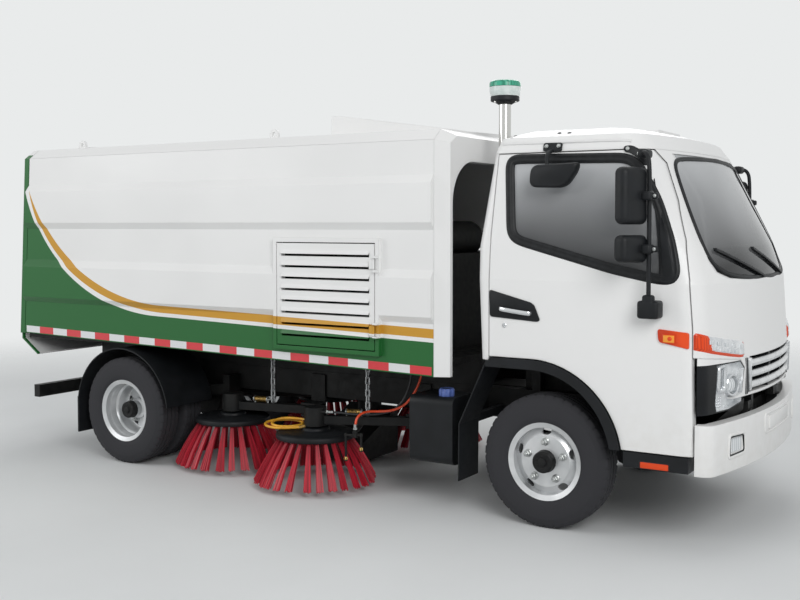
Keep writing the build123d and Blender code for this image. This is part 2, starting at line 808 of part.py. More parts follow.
def door_prism(growth):
    with BuildPart() as solid:
        with BuildSketch(Plane.XZ.offset(700.0)):
            with BuildLine():
                arch_x = (ARCH_RADIUS ** 2 - (DOOR_BOTTOM - ARCH_HEIGHT) ** 2) ** 0.5
                arch_end = (ahead(ARCH_STATION + arch_x), DOOR_BOTTOM)
                arch_top = (ahead(ARCH_STATION), ARCH_HEIGHT + ARCH_RADIUS)
                half = ARCH_RADIUS * 0.5 ** 0.5
                arch_middle = (ahead(ARCH_STATION + half), ARCH_HEIGHT + half)
                Polyline(arch_end, *stations(DOOR_FRONT_SEAM), *stations(DOOR_REAR_SEAM), arch_top)
                ThreePointArc(arch_top, arch_middle, arch_end)
            make_face()
            if growth:
                offset(amount=growth, kind=Kind.INTERSECTION)
        extrude(amount=500.0)
    return solid.part


def grown(points, near, far, growth):
    with BuildPart() as solid:
        with BuildSketch(Plane.XZ.offset(near)):
            with BuildLine():
                Polyline(*stations(points), close=True)
            make_face()
            offset(amount=growth, kind=Kind.INTERSECTION)
        extrude(amount=far - near)
    return solid.part


outer_form = cab_form(0.0)
inner_form = cab_form(CAB_WALL)
shell = cut(outer_form, [inner_form])
opening = door_prism(PANEL_GAP)
open_shell = cut(shell, [opening, left_of(opening)])
glass_form = cut(cab_form(6.0), [cab_form(6.0 + GLASS_THICKNESS)])
wide = 1300.0

cab_roof = common(shell, block((ahead(-600.0), ahead(wide)), (-wide, wide), (CAB_SPLIT, 2400.0)))
ROOF_VENT_STATION = 330.0
ROOF_VENT_SIZE = 420.0
ROOF_VENT_HEIGHT = 22.0
ROOF_VENT_LENGTH = 300.0
vent_rear = ahead(ROOF_VENT_STATION - ROOF_VENT_SIZE / 2)
roof_crown = CAB_SECTIONS[-1].height
vent = block(
    (vent_rear, vent_rear + ROOF_VENT_LENGTH),
    (-ROOF_VENT_SIZE / 2, ROOF_VENT_SIZE / 2),
    (roof_crown - 5.0, roof_crown + ROOF_VENT_HEIGHT),
)
keep(fused([cab_roof, vent]), "cab_roof")

rear_zone = block((ahead(-600.0), ahead(-250.0)), (-wide, wide), (CAB_REAR_BOTTOM, CAB_SPLIT))
REAR_WINDOW_HALF = 520.0
REAR_WINDOW_LOW = 1520.0
REAR_WINDOW_HIGH = 1960.0
rear_hole = block(
    (ahead(-600.0), ahead(-250.0)),
    (-REAR_WINDOW_HALF, REAR_WINDOW_HALF),
    (REAR_WINDOW_LOW, REAR_WINDOW_HIGH),
)
rear_ledge = block(
    (ahead(DOOR_REAR - PANEL_GAP), ahead(-200.0)), (-wide, wide), (900.0, ARCH_HEIGHT + ARCH_RADIUS + 2.0)
)
keep(cut(common(open_shell, rear_zone), [rear_hole, rear_ledge]), "cab_rear")

front_zone = block((ahead(500.0), ahead(wide)), (-wide, wide), (CAB_FRONT_BOTTOM, CAB_SPLIT))
lamp_hole = front_prism(HEADLAMP, ahead(860.0), ahead(wide))
grille_hole = block(
    (ahead(860.0), ahead(wide)), (-GRILLE_HALF_WIDTH, GRILLE_HALF_WIDTH), (GRILLE_BOTTOM, GRILLE_TOP)
)
screen_hole = grown(WINDSCREEN, -wide, wide, GLASS_CLEARANCE)
cab_front = cut(common(open_shell, front_zone), [screen_hole, lamp_hole, left_of(lamp_hole), grille_hole])
keep(cab_front, "cab_front")

screen = common(glass_form, side_prism(stations(WINDSCREEN), -wide, wide))
rear_pane = common(
    glass_form,
    block(
        (ahead(-600.0), ahead(-250.0)),
        (-REAR_WINDOW_HALF + GLASS_CLEARANCE, REAR_WINDOW_HALF - GLASS_CLEARANCE),
        (REAR_WINDOW_LOW + GLASS_CLEARANCE, REAR_WINDOW_HIGH - GLASS_CLEARANCE),
    ),
)
keep(Compound(children=list(screen.solids()) + list(rear_pane.solids())), "cab_glass")

# Doors with their windows
window_hole = grown(DOOR_WINDOW, 700.0, 1200.0, GLASS_CLEARANCE)
door = cut(common(shell, door_prism(0.0)), [window_hole])
keep_pair(door, "door")
keep_pair(common(glass_form, side_prism(stations(DOOR_WINDOW), 700.0, 1200.0)), "door_glass")

# Door mirrors: a pole on two feet with a large and a small head, and a kerb mirror above the window
MIRROR_POLE_STATION = 655.0
MIRROR_POLE_OFFSET = 1065.0
MIRROR_POLE_DIAMETER = 24.0
MIRROR_POLE_LOW = 1330.0
MIRROR_POLE_HIGH = 2130.0
MIRROR_REACH = 165.0
MIRROR_DEPTH = 75.0
MirrorHead = namedtuple("MirrorHead", "low height")
MIRROR_HEADS = [MirrorHead(1745.0, 300.0), MirrorHead(1545.0, 145.0)]
KERB_MIRROR_STATION = 140.0
pole_x = ahead(MIRROR_POLE_STATION)
mirror_pieces = [
    post((pole_x, -MIRROR_POLE_OFFSET), MIRROR_POLE_DIAMETER, MIRROR_POLE_LOW, MIRROR_POLE_HIGH),
    block(
        (pole_x - 45.0, pole_x + 45.0),
        (-MIRROR_POLE_OFFSET - 18.0, -900.0),
        (1250.0, MIRROR_POLE_LOW + 25.0),
    ),
    block(
        (pole_x - 110.0, pole_x + 12.0),
        (-MIRROR_POLE_OFFSET - 12.0, -MIRROR_POLE_OFFSET + 12.0),
        (2100.0, MIRROR_POLE_HIGH),
    ),
    block((pole_x - 110.0, pole_x - 75.0), (-MIRROR_POLE_OFFSET, -860.0), (2100.0, MIRROR_POLE_HIGH)),
    block(
        (ahead(KERB_MIRROR_STATION - 45.0), ahead(KERB_MIRROR_STATION + 45.0)),
        (-960.0, -800.0),
        (2127.0, 2147.0),
    ),
    block(
        (ahead(KERB_MIRROR_STATION - 8.0), ahead(KERB_MIRROR_STATION + 8.0)),
        (-1010.0, -940.0),
        (2130.0, 2145.0),
    ),
    block(
        (ahead(KERB_MIRROR_STATION - 8.0), ahead(KERB_MIRROR_STATION + 8.0)),
        (-1012.0, -996.0),
        (2080.0, 2145.0),
    ),
]
for head in MIRROR_HEADS:
    mirror_pieces.append(
        block(
            (pole_x - MIRROR_DEPTH - 8.0, pole_x - 8.0),
            (-MIRROR_POLE_OFFSET - MIRROR_REACH, -MIRROR_POLE_OFFSET + 20.0),
            (head.low, head.low + head.height),
        )
    )
mirror_pieces.append(
    block(
        (ahead(KERB_MIRROR_STATION - 110.0), ahead(KERB_MIRROR_STATION + 110.0)),
        (-1060.0, -985.0),
        (1965.0, 2085.0),
    )
)
mirror_cut = fused(
    [common(outer_form, block((ahead(-600.0), ahead(wide)), (-wide, -500.0), (1000.0, 2300.0)))]
)
keep_pair(cut(fused(mirror_pieces), [mirror_cut]), "mirrors")

# Lamps, grille and wipers on the cab
LAMP_DEPTH = 36.0
lamp_form = cut(cab_form(4.0), [cab_form(4.0 + LAMP_DEPTH)])
headlamp = common(
    common(lamp_form, lamp_hole), block((ahead(884.0), ahead(wide)), (-wide, 0.0), (700.0, 1200.0))
)
proud_form = cut(cab_form(-7.0), [outer_form])
turn_lamp = common(proud_form, side_prism(stations(TURN_LAMP), 500.0, wide))
BEACON_STATION = -395.0
BEACON_OFFSET = 640.0
BEACON_POLE_DIAMETER = 74.0
BEACON_POLE_LOW = 2040.0
BEACON_POLE_HIGH = 2490.0
BEACON_BASE_DIAMETER = 190.0
BEACON_BASE_STEP = 8.0
BEACON_BASE_HEIGHT = 30.0
BEACON_LENS_HEIGHT = 95.0
beacon_centre = (ahead(BEACON_STATION), -BEACON_OFFSET)
lens_low = BEACON_POLE_HIGH + BEACON_BASE_HEIGHT
beacon_lens = post(beacon_centre, BEACON_BASE_DIAMETER, lens_low, lens_low + BEACON_LENS_HEIGHT)
lamps = []
for lamp in (headlamp, turn_lamp):
    lamps.extend(lamp.solids())
    lamps.extend(left_of(lamp).solids())
keep(Compound(children=lamps + list(beacon_lens.solids())), "cab_lamps")

beacon = cut(
    fused(
        [
            post(beacon_centre, BEACON_POLE_DIAMETER, BEACON_POLE_LOW, BEACON_POLE_HIGH),
            post(beacon_centre, BEACON_BASE_DIAMETER - 2 * BEACON_BASE_STEP, BEACON_POLE_HIGH, lens_low),
            block(
                (ahead(BEACON_STATION), ahead(-250.0)),
                (-BEACON_OFFSET - 40.0, -BEACON_OFFSET + 40.0),
                (2050.0, 2130.0),
            ),
        ]
    ),
    [outer_form],
)
keep(beacon, "beacon")

slat_gap = (GRILLE_TOP - GRILLE_BOTTOM - GRILLE_SLATS * SLAT_HEIGHT) / (GRILLE_SLATS + 1)
slat_zone = []
for index in range(GRILLE_SLATS):
    slat_low = GRILLE_BOTTOM + slat_gap + index * (SLAT_HEIGHT + slat_gap)
    slat_zone.append(
        block(
            (ahead(860.0), ahead(wide)),
            (-GRILLE_HALF_WIDTH, GRILLE_HALF_WIDTH),
            (slat_low, slat_low + SLAT_HEIGHT),
        )
    )
for y in (-GRILLE_HALF_WIDTH, -160.0, 130.0, GRILLE_HALF_WIDTH - 30.0):
    slat_zone.append(block((ahead(860.0), ahead(wide)), (y, y + 30.0), (GRILLE_BOTTOM, GRILLE_TOP)))
keep(common(cut(cab_form(8.0), [cab_form(34.0)]), fused(slat_zone)), "grille")

WIPER_WIDTH = 16.0
wiper_form = cut(cab_form(-10.0), [cab_form(6.0 - GLASS_CLEARANCE)])
wipers = []
for start, end in (((-170.0, 1452.0), (-700.0, 1610.0)), ((330.0, 1452.0), (-200.0, 1610.0))):
    run = atan2(end[1] - start[1], end[0] - start[0])
    dy = sin(run) * WIPER_WIDTH / 2
    dz = cos(run) * WIPER_WIDTH / 2
    strip = [
        (start[0] - dy, start[1] + dz),
        (start[0] + dy, start[1] - dz),
        (end[0] + dy, end[1] - dz),
        (end[0] - dy, end[1] + dz),
    ]
    wipers.extend(common(wiper_form, front_prism(strip, ahead(700.0), ahead(wide))).solids())
keep(Compound(children=wipers), "wipers")

# Cab floor with footwells, steps and arch trims
half_floor = CAB_FLOOR_WIDTH / 2
half_tunnel = TUNNEL_WIDTH / 2
floor_low = CAB_FLOOR_TOP - CAB_FLOOR_THICKNESS
upper_z = (floor_low, CAB_FLOOR_TOP)
floor_pieces = [
    block((ahead(-600.0), ahead(FOOTWELL_REAR + CAB_FLOOR_THICKNESS)), (-half_floor, half_floor), upper_z),
    block((ahead(FOOTWELL_REAR), ahead(wide)), (-half_tunnel, half_tunnel), upper_z),
]
for side in (-1, 1):
    y_low, y_high = sorted((side * half_tunnel, side * half_floor))
    w_low, w_high = sorted((side * half_tunnel, side * (half_tunnel + CAB_FLOOR_THICKNESS)))
    riser = (ahead(FOOTWELL_REAR), ahead(FOOTWELL_REAR + CAB_FLOOR_THICKNESS))
    floor_pieces.append(block(riser, (y_low, y_high), (FOOTWELL_BOTTOM, CAB_FLOOR_TOP)))
    floor_pieces.append(
        block(
            (ahead(FOOTWELL_REAR), ahead(FOOTWELL_FRONT)), (w_low, w_high), (FOOTWELL_BOTTOM, CAB_FLOOR_TOP)
        )
    )
    floor_pieces.append(
        block(
            (ahead(FOOTWELL_REAR), ahead(840.0)),
            (y_low, y_high),
            (FOOTWELL_BOTTOM, FOOTWELL_BOTTOM + CAB_FLOOR_THICKNESS),
        )
    )
    toe = side_prism(
        stations(
            [
                (810.0, FOOTWELL_BOTTOM),
                (840.0, FOOTWELL_BOTTOM),
                (1080.0, 800.0),
                (1080.0, 840.0),
                (1050.0, 840.0),
            ]
        ),
        -y_high,
        -y_low,
    )
    floor_pieces.append(toe)
for side in (-1, 1):
    lug_range = sorted((side * TILT_LUG_OFFSET, side * (TILT_LUG_OFFSET + TILT_LUG)))
    floor_pieces.append(block(tilt_x, lug_range, (TILT_HEIGHT - 25.0, CAB_FLOOR_TOP - 5.0)))
pin_bore = cross_rod(
    ahead(TILT_STATION), TILT_HEIGHT, TILT_PIN_DIAMETER + 2 * RUNNING_CLEARANCE, -half_frame, half_frame
)
door_sweep = block(
    (ahead(DOOR_SWEEP_REAR), ahead(DOOR_SWEEP_FRONT)),
    (-wide, -DOOR_SWEEP_OFFSET),
    (FOOTWELL_BOTTOM - 10.0, DOOR_SWEEP_TOP),
)
cab_floor = cut(common(fused(floor_pieces), inner_form), [pin_bore, door_sweep, left_of(door_sweep)])
keep(cab_floor, "cab_floor")

STEP_REAR = 492.0
STEP_FRONT = 850.0
STEP_BOTTOM = 430.0
STEP_TOP = 514.0
STEP_DEPTH = 200.0
step_out = CAB_SECTIONS[0].half_width
step = fused(
    [
        block(
            (ahead(STEP_REAR), ahead(STEP_FRONT)),
            (-step_out, -step_out + STEP_DEPTH),
            (STEP_BOTTOM, STEP_TOP),
        ),
        block(
            (ahead(STEP_REAR + 40.0), ahead(DOOR_SWEEP_REAR)),
            (-half_floor + 5.0, -step_out + STEP_DEPTH),
            (STEP_TOP - 5.0, FOOTWELL_BOTTOM),
        ),
    ]
)
trim_outer = ARCH_RADIUS - PANEL_GAP
trim_inner = trim_outer - ARCH_TRIM_WIDTH
with BuildPart() as arch_trim:
    with BuildSketch(Plane.XZ.offset(half_floor)):
        with Locations((ahead(ARCH_STATION), ARCH_HEIGHT)):
            Circle(trim_outer)
            Circle(trim_inner, mode=Mode.SUBTRACT)
    extrude(amount=CAB_SECTIONS[1].half_width + 12.0 - half_floor)
    keep_zone = block((ahead(ARCH_STATION), ahead(wide)), (-wide, 0.0), (STEP_TOP + 4.0, 1200.0))
    add(keep_zone, mode=Mode.INTERSECT)
    top_z = (ARCH_HEIGHT + trim_inner, ARCH_HEIGHT + trim_outer)
    add(
        block(
            (ahead(DOOR_REAR - 20.0), ahead(ARCH_STATION)),
            (-CAB_SECTIONS[1].half_width - 12.0, -half_floor),
            top_z,
        )
    )
    add(
        block((ahead(-600.0), ahead(DOOR_REAR + PANEL_GAP)), (-wide, 0.0), (CAB_REAR_BOTTOM, 1200.0)),
        mode=Mode.SUBTRACT,
    )
trims = []
for trim in (step, arch_trim.part):
    trims.extend(trim.solids())
    trims.extend(left_of(trim).solids())
keep(Compound(children=trims), "cab_trim")

# Inside the cab
SEAT_WIDTH = 520.0
SEAT_STATION = -60.0
SEAT_LENGTH = 480.0
SEAT_HEIGHT = 330.0
SEAT_BACK_THICKNESS = 120.0
SEAT_BACK_HEIGHT = 620.0
seat_list = []
for y in (-590.0, 0.0, 590.0):
    width = SEAT_WIDTH if y else SEAT_WIDTH - 60.0
    seat_x = ahead(SEAT_STATION)
    seat_list.extend(
        fused(
            [
                block((seat_x - 150.0, seat_x + SEAT_LENGTH - 150.0), (y - width / 2, y + width / 2),
                      (CAB_FLOOR_TOP, CAB_FLOOR_TOP + SEAT_HEIGHT)),
                block((seat_x - 230.0, seat_x - 230.0 + SEAT_BACK_THICKNESS), (y - width / 2, y + width / 2),
                      (CAB_FLOOR_TOP, CAB_FLOOR_TOP + SEAT_HEIGHT + SEAT_BACK_HEIGHT)),
                block((seat_x - 220.0, seat_x - 140.0), (y - 130.0, y + 130.0),
                      (
                          CAB_FLOOR_TOP + SEAT_HEIGHT + SEAT_BACK_HEIGHT - 20.0,
                          CAB_FLOOR_TOP + SEAT_HEIGHT + SEAT_BACK_HEIGHT + 150.0,
                      )),
            ]
        ).solids()
    )
keep(Compound(children=seat_list), "seats")

DASH_TOP = 1420.0
DASH_BOTTOM = 1180.0
DASH_REAR = 640.0
WHEEL_DIAMETER = 420.0
WHEEL_RIM = 30.0
wheel_centre = (ahead(560.0), 590.0, 1500.0)
wheel_tilt = (-sin(radians(35.0)), 0.0, cos(radians(35.0)))
with BuildPart() as dashboard:
    add(block((ahead(DASH_REAR), ahead(wide)), (-870.0, 870.0), (DASH_BOTTOM, DASH_TOP)))
    add(cab_form(CAB_WALL + GLASS_CLEARANCE), mode=Mode.INTERSECT)
    add(opening, mode=Mode.SUBTRACT)
    add(left_of(opening), mode=Mode.SUBTRACT)
    with BuildSketch(Plane(origin=wheel_centre, x_dir=(0, 1, 0), z_dir=wheel_tilt)):
        Circle(WHEEL_DIAMETER / 2)
        Circle(WHEEL_DIAMETER / 2 - WHEEL_RIM, mode=Mode.SUBTRACT)
        Rectangle(WHEEL_DIAMETER - WHEEL_RIM, 50.0)
    extrude(amount=WHEEL_RIM)
    with BuildSketch(Plane(origin=wheel_centre, x_dir=(0, 1, 0), z_dir=wheel_tilt)):
        Circle(38.0)
    extrude(amount=-260.0)
keep(dashboard.part, "dashboard")

# Front bumper on the rails, with its lamps, and the rear guard
BUMPER_BOTTOM = 424.0
BUMPER_TOP = 695.0
BUMPER_WALL = 55.0
BUMPER_HALF_WIDTH = 985.0
BUMPER_CORNER = 965.0
BUMPER_REAR = 884.0
BUMPER_RADIUS = 75.0
BUMPER_LAMP_OFFSET = 700.0
BUMPER_LAMP_WIDTH = 150.0
BUMPER_LAMP_HEIGHT = 80.0
BUMPER_LAMP_BOTTOM = 520.0


def bumper_form(inset):
    with BuildPart() as form:
        with BuildSketch(Plane.XY.offset(BUMPER_BOTTOM)) as outline:
            with BuildLine():
                half = BUMPER_HALF_WIDTH - inset
                corner = ahead(BUMPER_CORNER - inset)
                rear = ahead(BUMPER_REAR)
                ThreePointArc((corner, half), (ahead(FRONT_OVERHANG - inset), 0.0), (corner, -half))
                Polyline((corner, -half), (rear, -half), (rear, half), (corner, half))
            make_face()
            fillet(outline.vertices().group_by(Axis.X)[-1], BUMPER_RADIUS - inset)
        extrude(amount=BUMPER_TOP - BUMPER_BOTTOM)
    return form.part


bumper_lamp_zone = block(
    (ahead(BUMPER_REAR), ahead(wide)),
    (-BUMPER_LAMP_OFFSET - BUMPER_LAMP_WIDTH / 2, -BUMPER_LAMP_OFFSET + BUMPER_LAMP_WIDTH / 2),
    (BUMPER_LAMP_BOTTOM, BUMPER_LAMP_BOTTOM + BUMPER_LAMP_HEIGHT),
)
bumper_outer = bumper_form(0.0)
bumper_inner = bumper_form(BUMPER_WALL)
bumper_shell = cut(bumper_outer, [bumper_inner, bumper_lamp_zone, left_of(bumper_lamp_zone)])
lug_zone = [
    block(
        (rail_front, ahead(wide)),
        sorted((side * half_frame, side * rail_inner)),
        (rail_bottom, FRAME_TOP - 10.0),
    )
    for side in (-1, 1)
]
bumper = fused([bumper_shell, common(fused(lug_zone), bumper_inner)])
keep(bumper, "front_bumper")
bumper_lamp = common(cut(bumper_form(10.0), [bumper_form(10.0 + 30.0)]), bumper_lamp_zone)

GUARD_STATION = 985.0
GUARD_BOTTOM = 395.0
GUARD_HEIGHT = 95.0
GUARD_DEPTH = 60.0
GUARD_HALF_WIDTH = 930.0
guard_x = REAR_AXLE - GUARD_STATION
guard = [
    block(
        (guard_x - GUARD_DEPTH, guard_x),
        (-GUARD_HALF_WIDTH, GUARD_HALF_WIDTH),
        (GUARD_BOTTOM, GUARD_BOTTOM + GUARD_HEIGHT),
    )
]
for side in (-1, 1):
    y_range = sorted((side * half_frame, side * rail_inner))
    guard.append(
        side_prism(
            [
                (guard_x, GUARD_BOTTOM),
                (rail_rear, rail_bottom),
                (rail_rear, FRAME_TOP - 10.0),
                (rail_rear - 20.0, FRAME_TOP - 10.0),
                (guard_x - 20.0, GUARD_BOTTOM + GUARD_HEIGHT),
                (guard_x - 20.0, GUARD_BOTTOM),
            ],
            -y_range[1],
            -y_range[0],
        )
    )
keep(fused(guard), "rear_guard")
TAIL_LAMP_WIDTH = 280.0
TAIL_LAMP_HEIGHT = 75.0
tail_lamp = block(
    (guard_x - GUARD_DEPTH - 25.0, guard_x - GUARD_DEPTH),
    (-GUARD_HALF_WIDTH + 40.0, -GUARD_HALF_WIDTH + 40.0 + TAIL_LAMP_WIDTH),
    (GUARD_BOTTOM + 10.0, GUARD_BOTTOM + 10.0 + TAIL_LAMP_HEIGHT),
)
chassis_lamps = []
for lamp in (bumper_lamp, tail_lamp):
    chassis_lamps.extend(lamp.solids())
    chassis_lamps.extend(left_of(lamp).solids())
keep(Compound(children=chassis_lamps), "chassis_lamps")

# Mudguards and flaps
GUARD_RADIUS = 452.0
GUARD_SHEET = 8.0
GUARD_INNER = 545.0
GUARD_OUTER = 1012.0
FLAP_BOTTOM = 190.0
with BuildPart() as rear_mudguard:
    with BuildSketch(Plane.XZ.offset(GUARD_INNER)):
        with Locations((REAR_AXLE, AXLE_HEIGHT)):
            Circle(GUARD_RADIUS + GUARD_SHEET)
            Circle(GUARD_RADIUS, mode=Mode.SUBTRACT)
    extrude(amount=GUARD_OUTER - GUARD_INNER)
    add(
        block((REAR_AXLE - 600.0, REAR_AXLE + 600.0), (-wide, 0.0), (AXLE_HEIGHT + 60.0, 1000.0)),
        mode=Mode.INTERSECT,
    )
    flap_x = (REAR_AXLE - GUARD_RADIUS - GUARD_SHEET, REAR_AXLE - GUARD_RADIUS + 6.0)
    add(block(flap_x, (-GUARD_OUTER, -GUARD_INNER), (FLAP_BOTTOM, AXLE_HEIGHT + 70.0)))
    add(
        block(
            (REAR_AXLE - 60.0, REAR_AXLE + 60.0),
            (-760.0, -640.0),
            (AXLE_HEIGHT + GUARD_RADIUS + 2.0, FLOOR_BOTTOM),
        )
    )
FRONT_FLAP = [
    (-345.0, 945.0), (-521.0, 560.0), (-524.0, 219.0), (-532.0, 219.0), (-529.0, 562.0), (-353.0, 945.0)
]
front_flap = fused(
    [
        side_prism(stations(FRONT_FLAP), 730.0, 975.0),
        block((ahead(-560.0), ahead(-522.0)), (-760.0, -half_frame), (540.0, 590.0)),
    ]
)
guards = []
for guard_part in (rear_mudguard.part, front_flap):
    guards.extend(guard_part.solids())
    guards.extend(left_of(guard_part).solids())
keep(Compound(children=guards), "mudguards")

# Side tanks: additive on the right, fuel on the left
TANK_FRONT = -594.0
TANK_LENGTH = 303.0
TANK_BOTTOM = 289.0
TANK_TOP = 700.0
TANK_OUTER = 930.0
TANK_INNER = 600.0
FUEL_LENGTH = 560.0
FUEL_BOTTOM = 300.0
FUEL_TOP = 690.0


def side_tank(length, bottom, top):
    x_range = (ahead(TANK_FRONT) - length, ahead(TANK_FRONT))
    with BuildPart() as tank:
        add(block(x_range, (-TANK_OUTER, -TANK_INNER), (bottom, top)))
        fillet(tank.part.edges().filter_by(Axis.X), 45.0)
        for share in (0.25, 0.75):
            middle = x_range[0] + share * length
            add(
                block(
                    (middle - 25.0, middle + 25.0),
                    (-TANK_INNER - 60.0, -half_frame),
                    (rail_bottom + 30.0, rail_bottom + 90.0),
                )
            )
    return tank.part


additive_tank = fused(
    [
        side_tank(TANK_LENGTH, TANK_BOTTOM, TANK_TOP),
        post((ahead(TANK_FRONT - 90.0), -840.0), 80.0, TANK_TOP - 30.0, TANK_TOP + 45.0),
    ]
)
fuel_tank = left_of(
    fused(
        [
            side_tank(FUEL_LENGTH, FUEL_BOTTOM, FUEL_TOP),
            post((ahead(TANK_FRONT - 150.0), -840.0), 90.0, FUEL_TOP - 30.0, FUEL_TOP + 35.0),
        ]
    )
)
keep(Compound(children=list(additive_tank.solids()) + list(fuel_tank.solids())), "side_tanks")

# Sweeper body
half_body = BODY_WIDTH / 2
recess = half_body - RIB_DEPTH
inner_wall = recess - BODY_WALL
lean = tan(radians(TAIL_LEAN))
tail_outer = REAR_AXLE - REAR_OVERHANG


def tail_x(height, inward):
    return tail_outer + (height - TAIL_LOW) * lean + inward


body_front = ahead(BODY_FRONT)
RibLine = namedtuple("RibLine", "height proud")
SIDE_PROFILE = [
    RibLine(BODY_SIDE_TOP, 0),
    RibLine(2046.0, 0),
    RibLine(1995.0, 1),
    RibLine(1758.0, 1),
    RibLine(1713.0, 0),
    RibLine(1474.0, 0),
    RibLine(1423.0, 1),
    RibLine(1190.0, 1),
    RibLine(1150.0, 0),
    RibLine(700.0, 0),
]
profile = [(-recess - RIB_DEPTH * line.proud, line.height) for line in SIDE_PROFILE]
profile.extend([(-inner_wall, 700.0), (-inner_wall, BODY_SIDE_TOP)])
joint = TAIL_THICKNESS + PANEL_GAP
side_outline = [
    (body_front, BODY_BOTTOM_FRONT),
    (body_front, 2400.0),
    (tail_x(2400.0, joint), 2400.0),
    (tail_x(BODY_BOTTOM_REAR, joint), BODY_BOTTOM_REAR),
]
louvre_x = (ahead(LOUVRE_FRONT) - LOUVRE_LENGTH, ahead(LOUVRE_FRONT))
louvre_z = (LOUVRE_BOTTOM, LOUVRE_BOTTOM + LOUVRE_HEIGHT)
LOUVRE_RIM = 28.0
louvre_opening = block(louvre_x, (-wide, -500.0), louvre_z)
louvre_rim = block(
    (louvre_x[0] - LOUVRE_RIM, louvre_x[1] + LOUVRE_RIM),
    (-half_body, -recess + 5.0),
    (louvre_z[0] - LOUVRE_RIM, louvre_z[1] + LOUVRE_RIM),
)
side_panel = common(
    front_prism(profile, tail_outer - 100.0, body_front), side_prism(side_outline, 0.0, wide)
)
hinge_at = (louvre_x[1] - PANEL_GAP / 2, -half_body - HINGE_STANDOFF)
LOUVRE_HINGES = [LOUVRE_BOTTOM + 130.0, LOUVRE_BOTTOM + LOUVRE_HEIGHT - 130.0]
ears = []
for height in LOUVRE_HINGES:
    reach = HINGE_TUBE_LENGTH / 2 + EAR_GAP
    ears.append(post(hinge_at, HINGE_PIN_DIAMETER, height - reach - EAR_WIDTH, height + reach + EAR_WIDTH))
    for low in (height - reach - EAR_WIDTH, height + reach):
        ear_y = (hinge_at[1] - 6.0, hinge_at[1] + 6.0)
        ears.append(block((hinge_at[0] - 6.0, hinge_at[0] + 28.0), ear_y, (low, low + EAR_WIDTH)))
        ears.append(
            block(
                (hinge_at[0] + PANEL_GAP, hinge_at[0] + 28.0),
                (ear_y[0], -half_body + 4.0),
                (low, low + EAR_WIDTH),
            )
        )
side_panel = fused([cut(fused([side_panel, louvre_rim]), [louvre_opening]), *ears])
keep_both(side_panel, "body_sides")

roof_outline = [
    (-recess, BODY_SIDE_TOP),
    (-BODY_ROOF_EDGE_WIDTH / 2, BODY_ROOF_EDGE),
    (0.0, BODY_ROOF_TOP),
    (BODY_ROOF_EDGE_WIDTH / 2, BODY_ROOF_EDGE),
    (recess, BODY_SIDE_TOP),
]
roof_inner = [
    (inner_wall, BODY_SIDE_TOP),
    (BODY_ROOF_EDGE_WIDTH / 2 - 20.0, BODY_ROOF_EDGE - BODY_WALL),
    (0.0, BODY_ROOF_TOP - BODY_WALL),
    (-BODY_ROOF_EDGE_WIDTH / 2 + 20.0, BODY_ROOF_EDGE - BODY_WALL),
    (-inner_wall, BODY_SIDE_TOP),
]
body_roof = common(
    front_prism(roof_outline + roof_inner, tail_outer - 100.0, body_front),
    side_prism(side_outline, -wide, wide),
)
hood_points = stations(
    [
        (HOOD_FRONT, BODY_ROOF_TOP - 30.0),
        (HOOD_REAR, BODY_ROOF_TOP - 30.0),
        (HOOD_REAR, BODY_ROOF_TOP + HOOD_HEIGHT),
        (HOOD_REAR + 60.0, BODY_ROOF_TOP + HOOD_HEIGHT),
        (HOOD_FRONT, BODY_ROOF_TOP - 5.0),
    ]
)
hood = side_prism(hood_points, -HOOD_WIDTH / 2, HOOD_WIDTH / 2)
roof_room = front_prism(
    [
        (-wide, 2000.0),
        (wide, 2000.0),
        (inner_wall, BODY_SIDE_TOP),
        *roof_inner[1:4],
        (-inner_wall, BODY_SIDE_TOP),
    ],
    tail_outer - 100.0,
    body_front,
)
tail_hinge = (tail_x(BODY_ROOF_TOP, TAIL_THICKNESS + PANEL_GAP / 2), BODY_ROOF_TOP + TAIL_HINGE_RISE)
tail_ears = []
for side in (-1, 1):
    inner_end = side * TAIL_HINGE_OFFSET - TAIL_TUBE_LENGTH / 2 - EAR_GAP
    outer_end = side * TAIL_HINGE_OFFSET + TAIL_TUBE_LENGTH / 2 + EAR_GAP
    tail_ears.append(
        cross_rod(*tail_hinge, TAIL_PIN_DIAMETER, -outer_end - EAR_WIDTH, -inner_end + EAR_WIDTH)
    )
    for low in (inner_end - EAR_WIDTH, outer_end):
        ear_z = (tail_hinge[1] - 12.0, tail_hinge[1] + 12.0)
        tail_ears.append(block((tail_hinge[0] - 12.0, tail_hinge[0] + 70.0), (low, low + EAR_WIDTH), ear_z))
        tail_ears.append(
            block(
                (tail_hinge[0] + 10.0, tail_hinge[0] + 70.0),
                (low, low + EAR_WIDTH),
                (BODY_ROOF_EDGE - 5.0, ear_z[1]),
            )
        )
keep(fused([body_roof, cut(hood, [roof_room]), *tail_ears]), "body_roof")

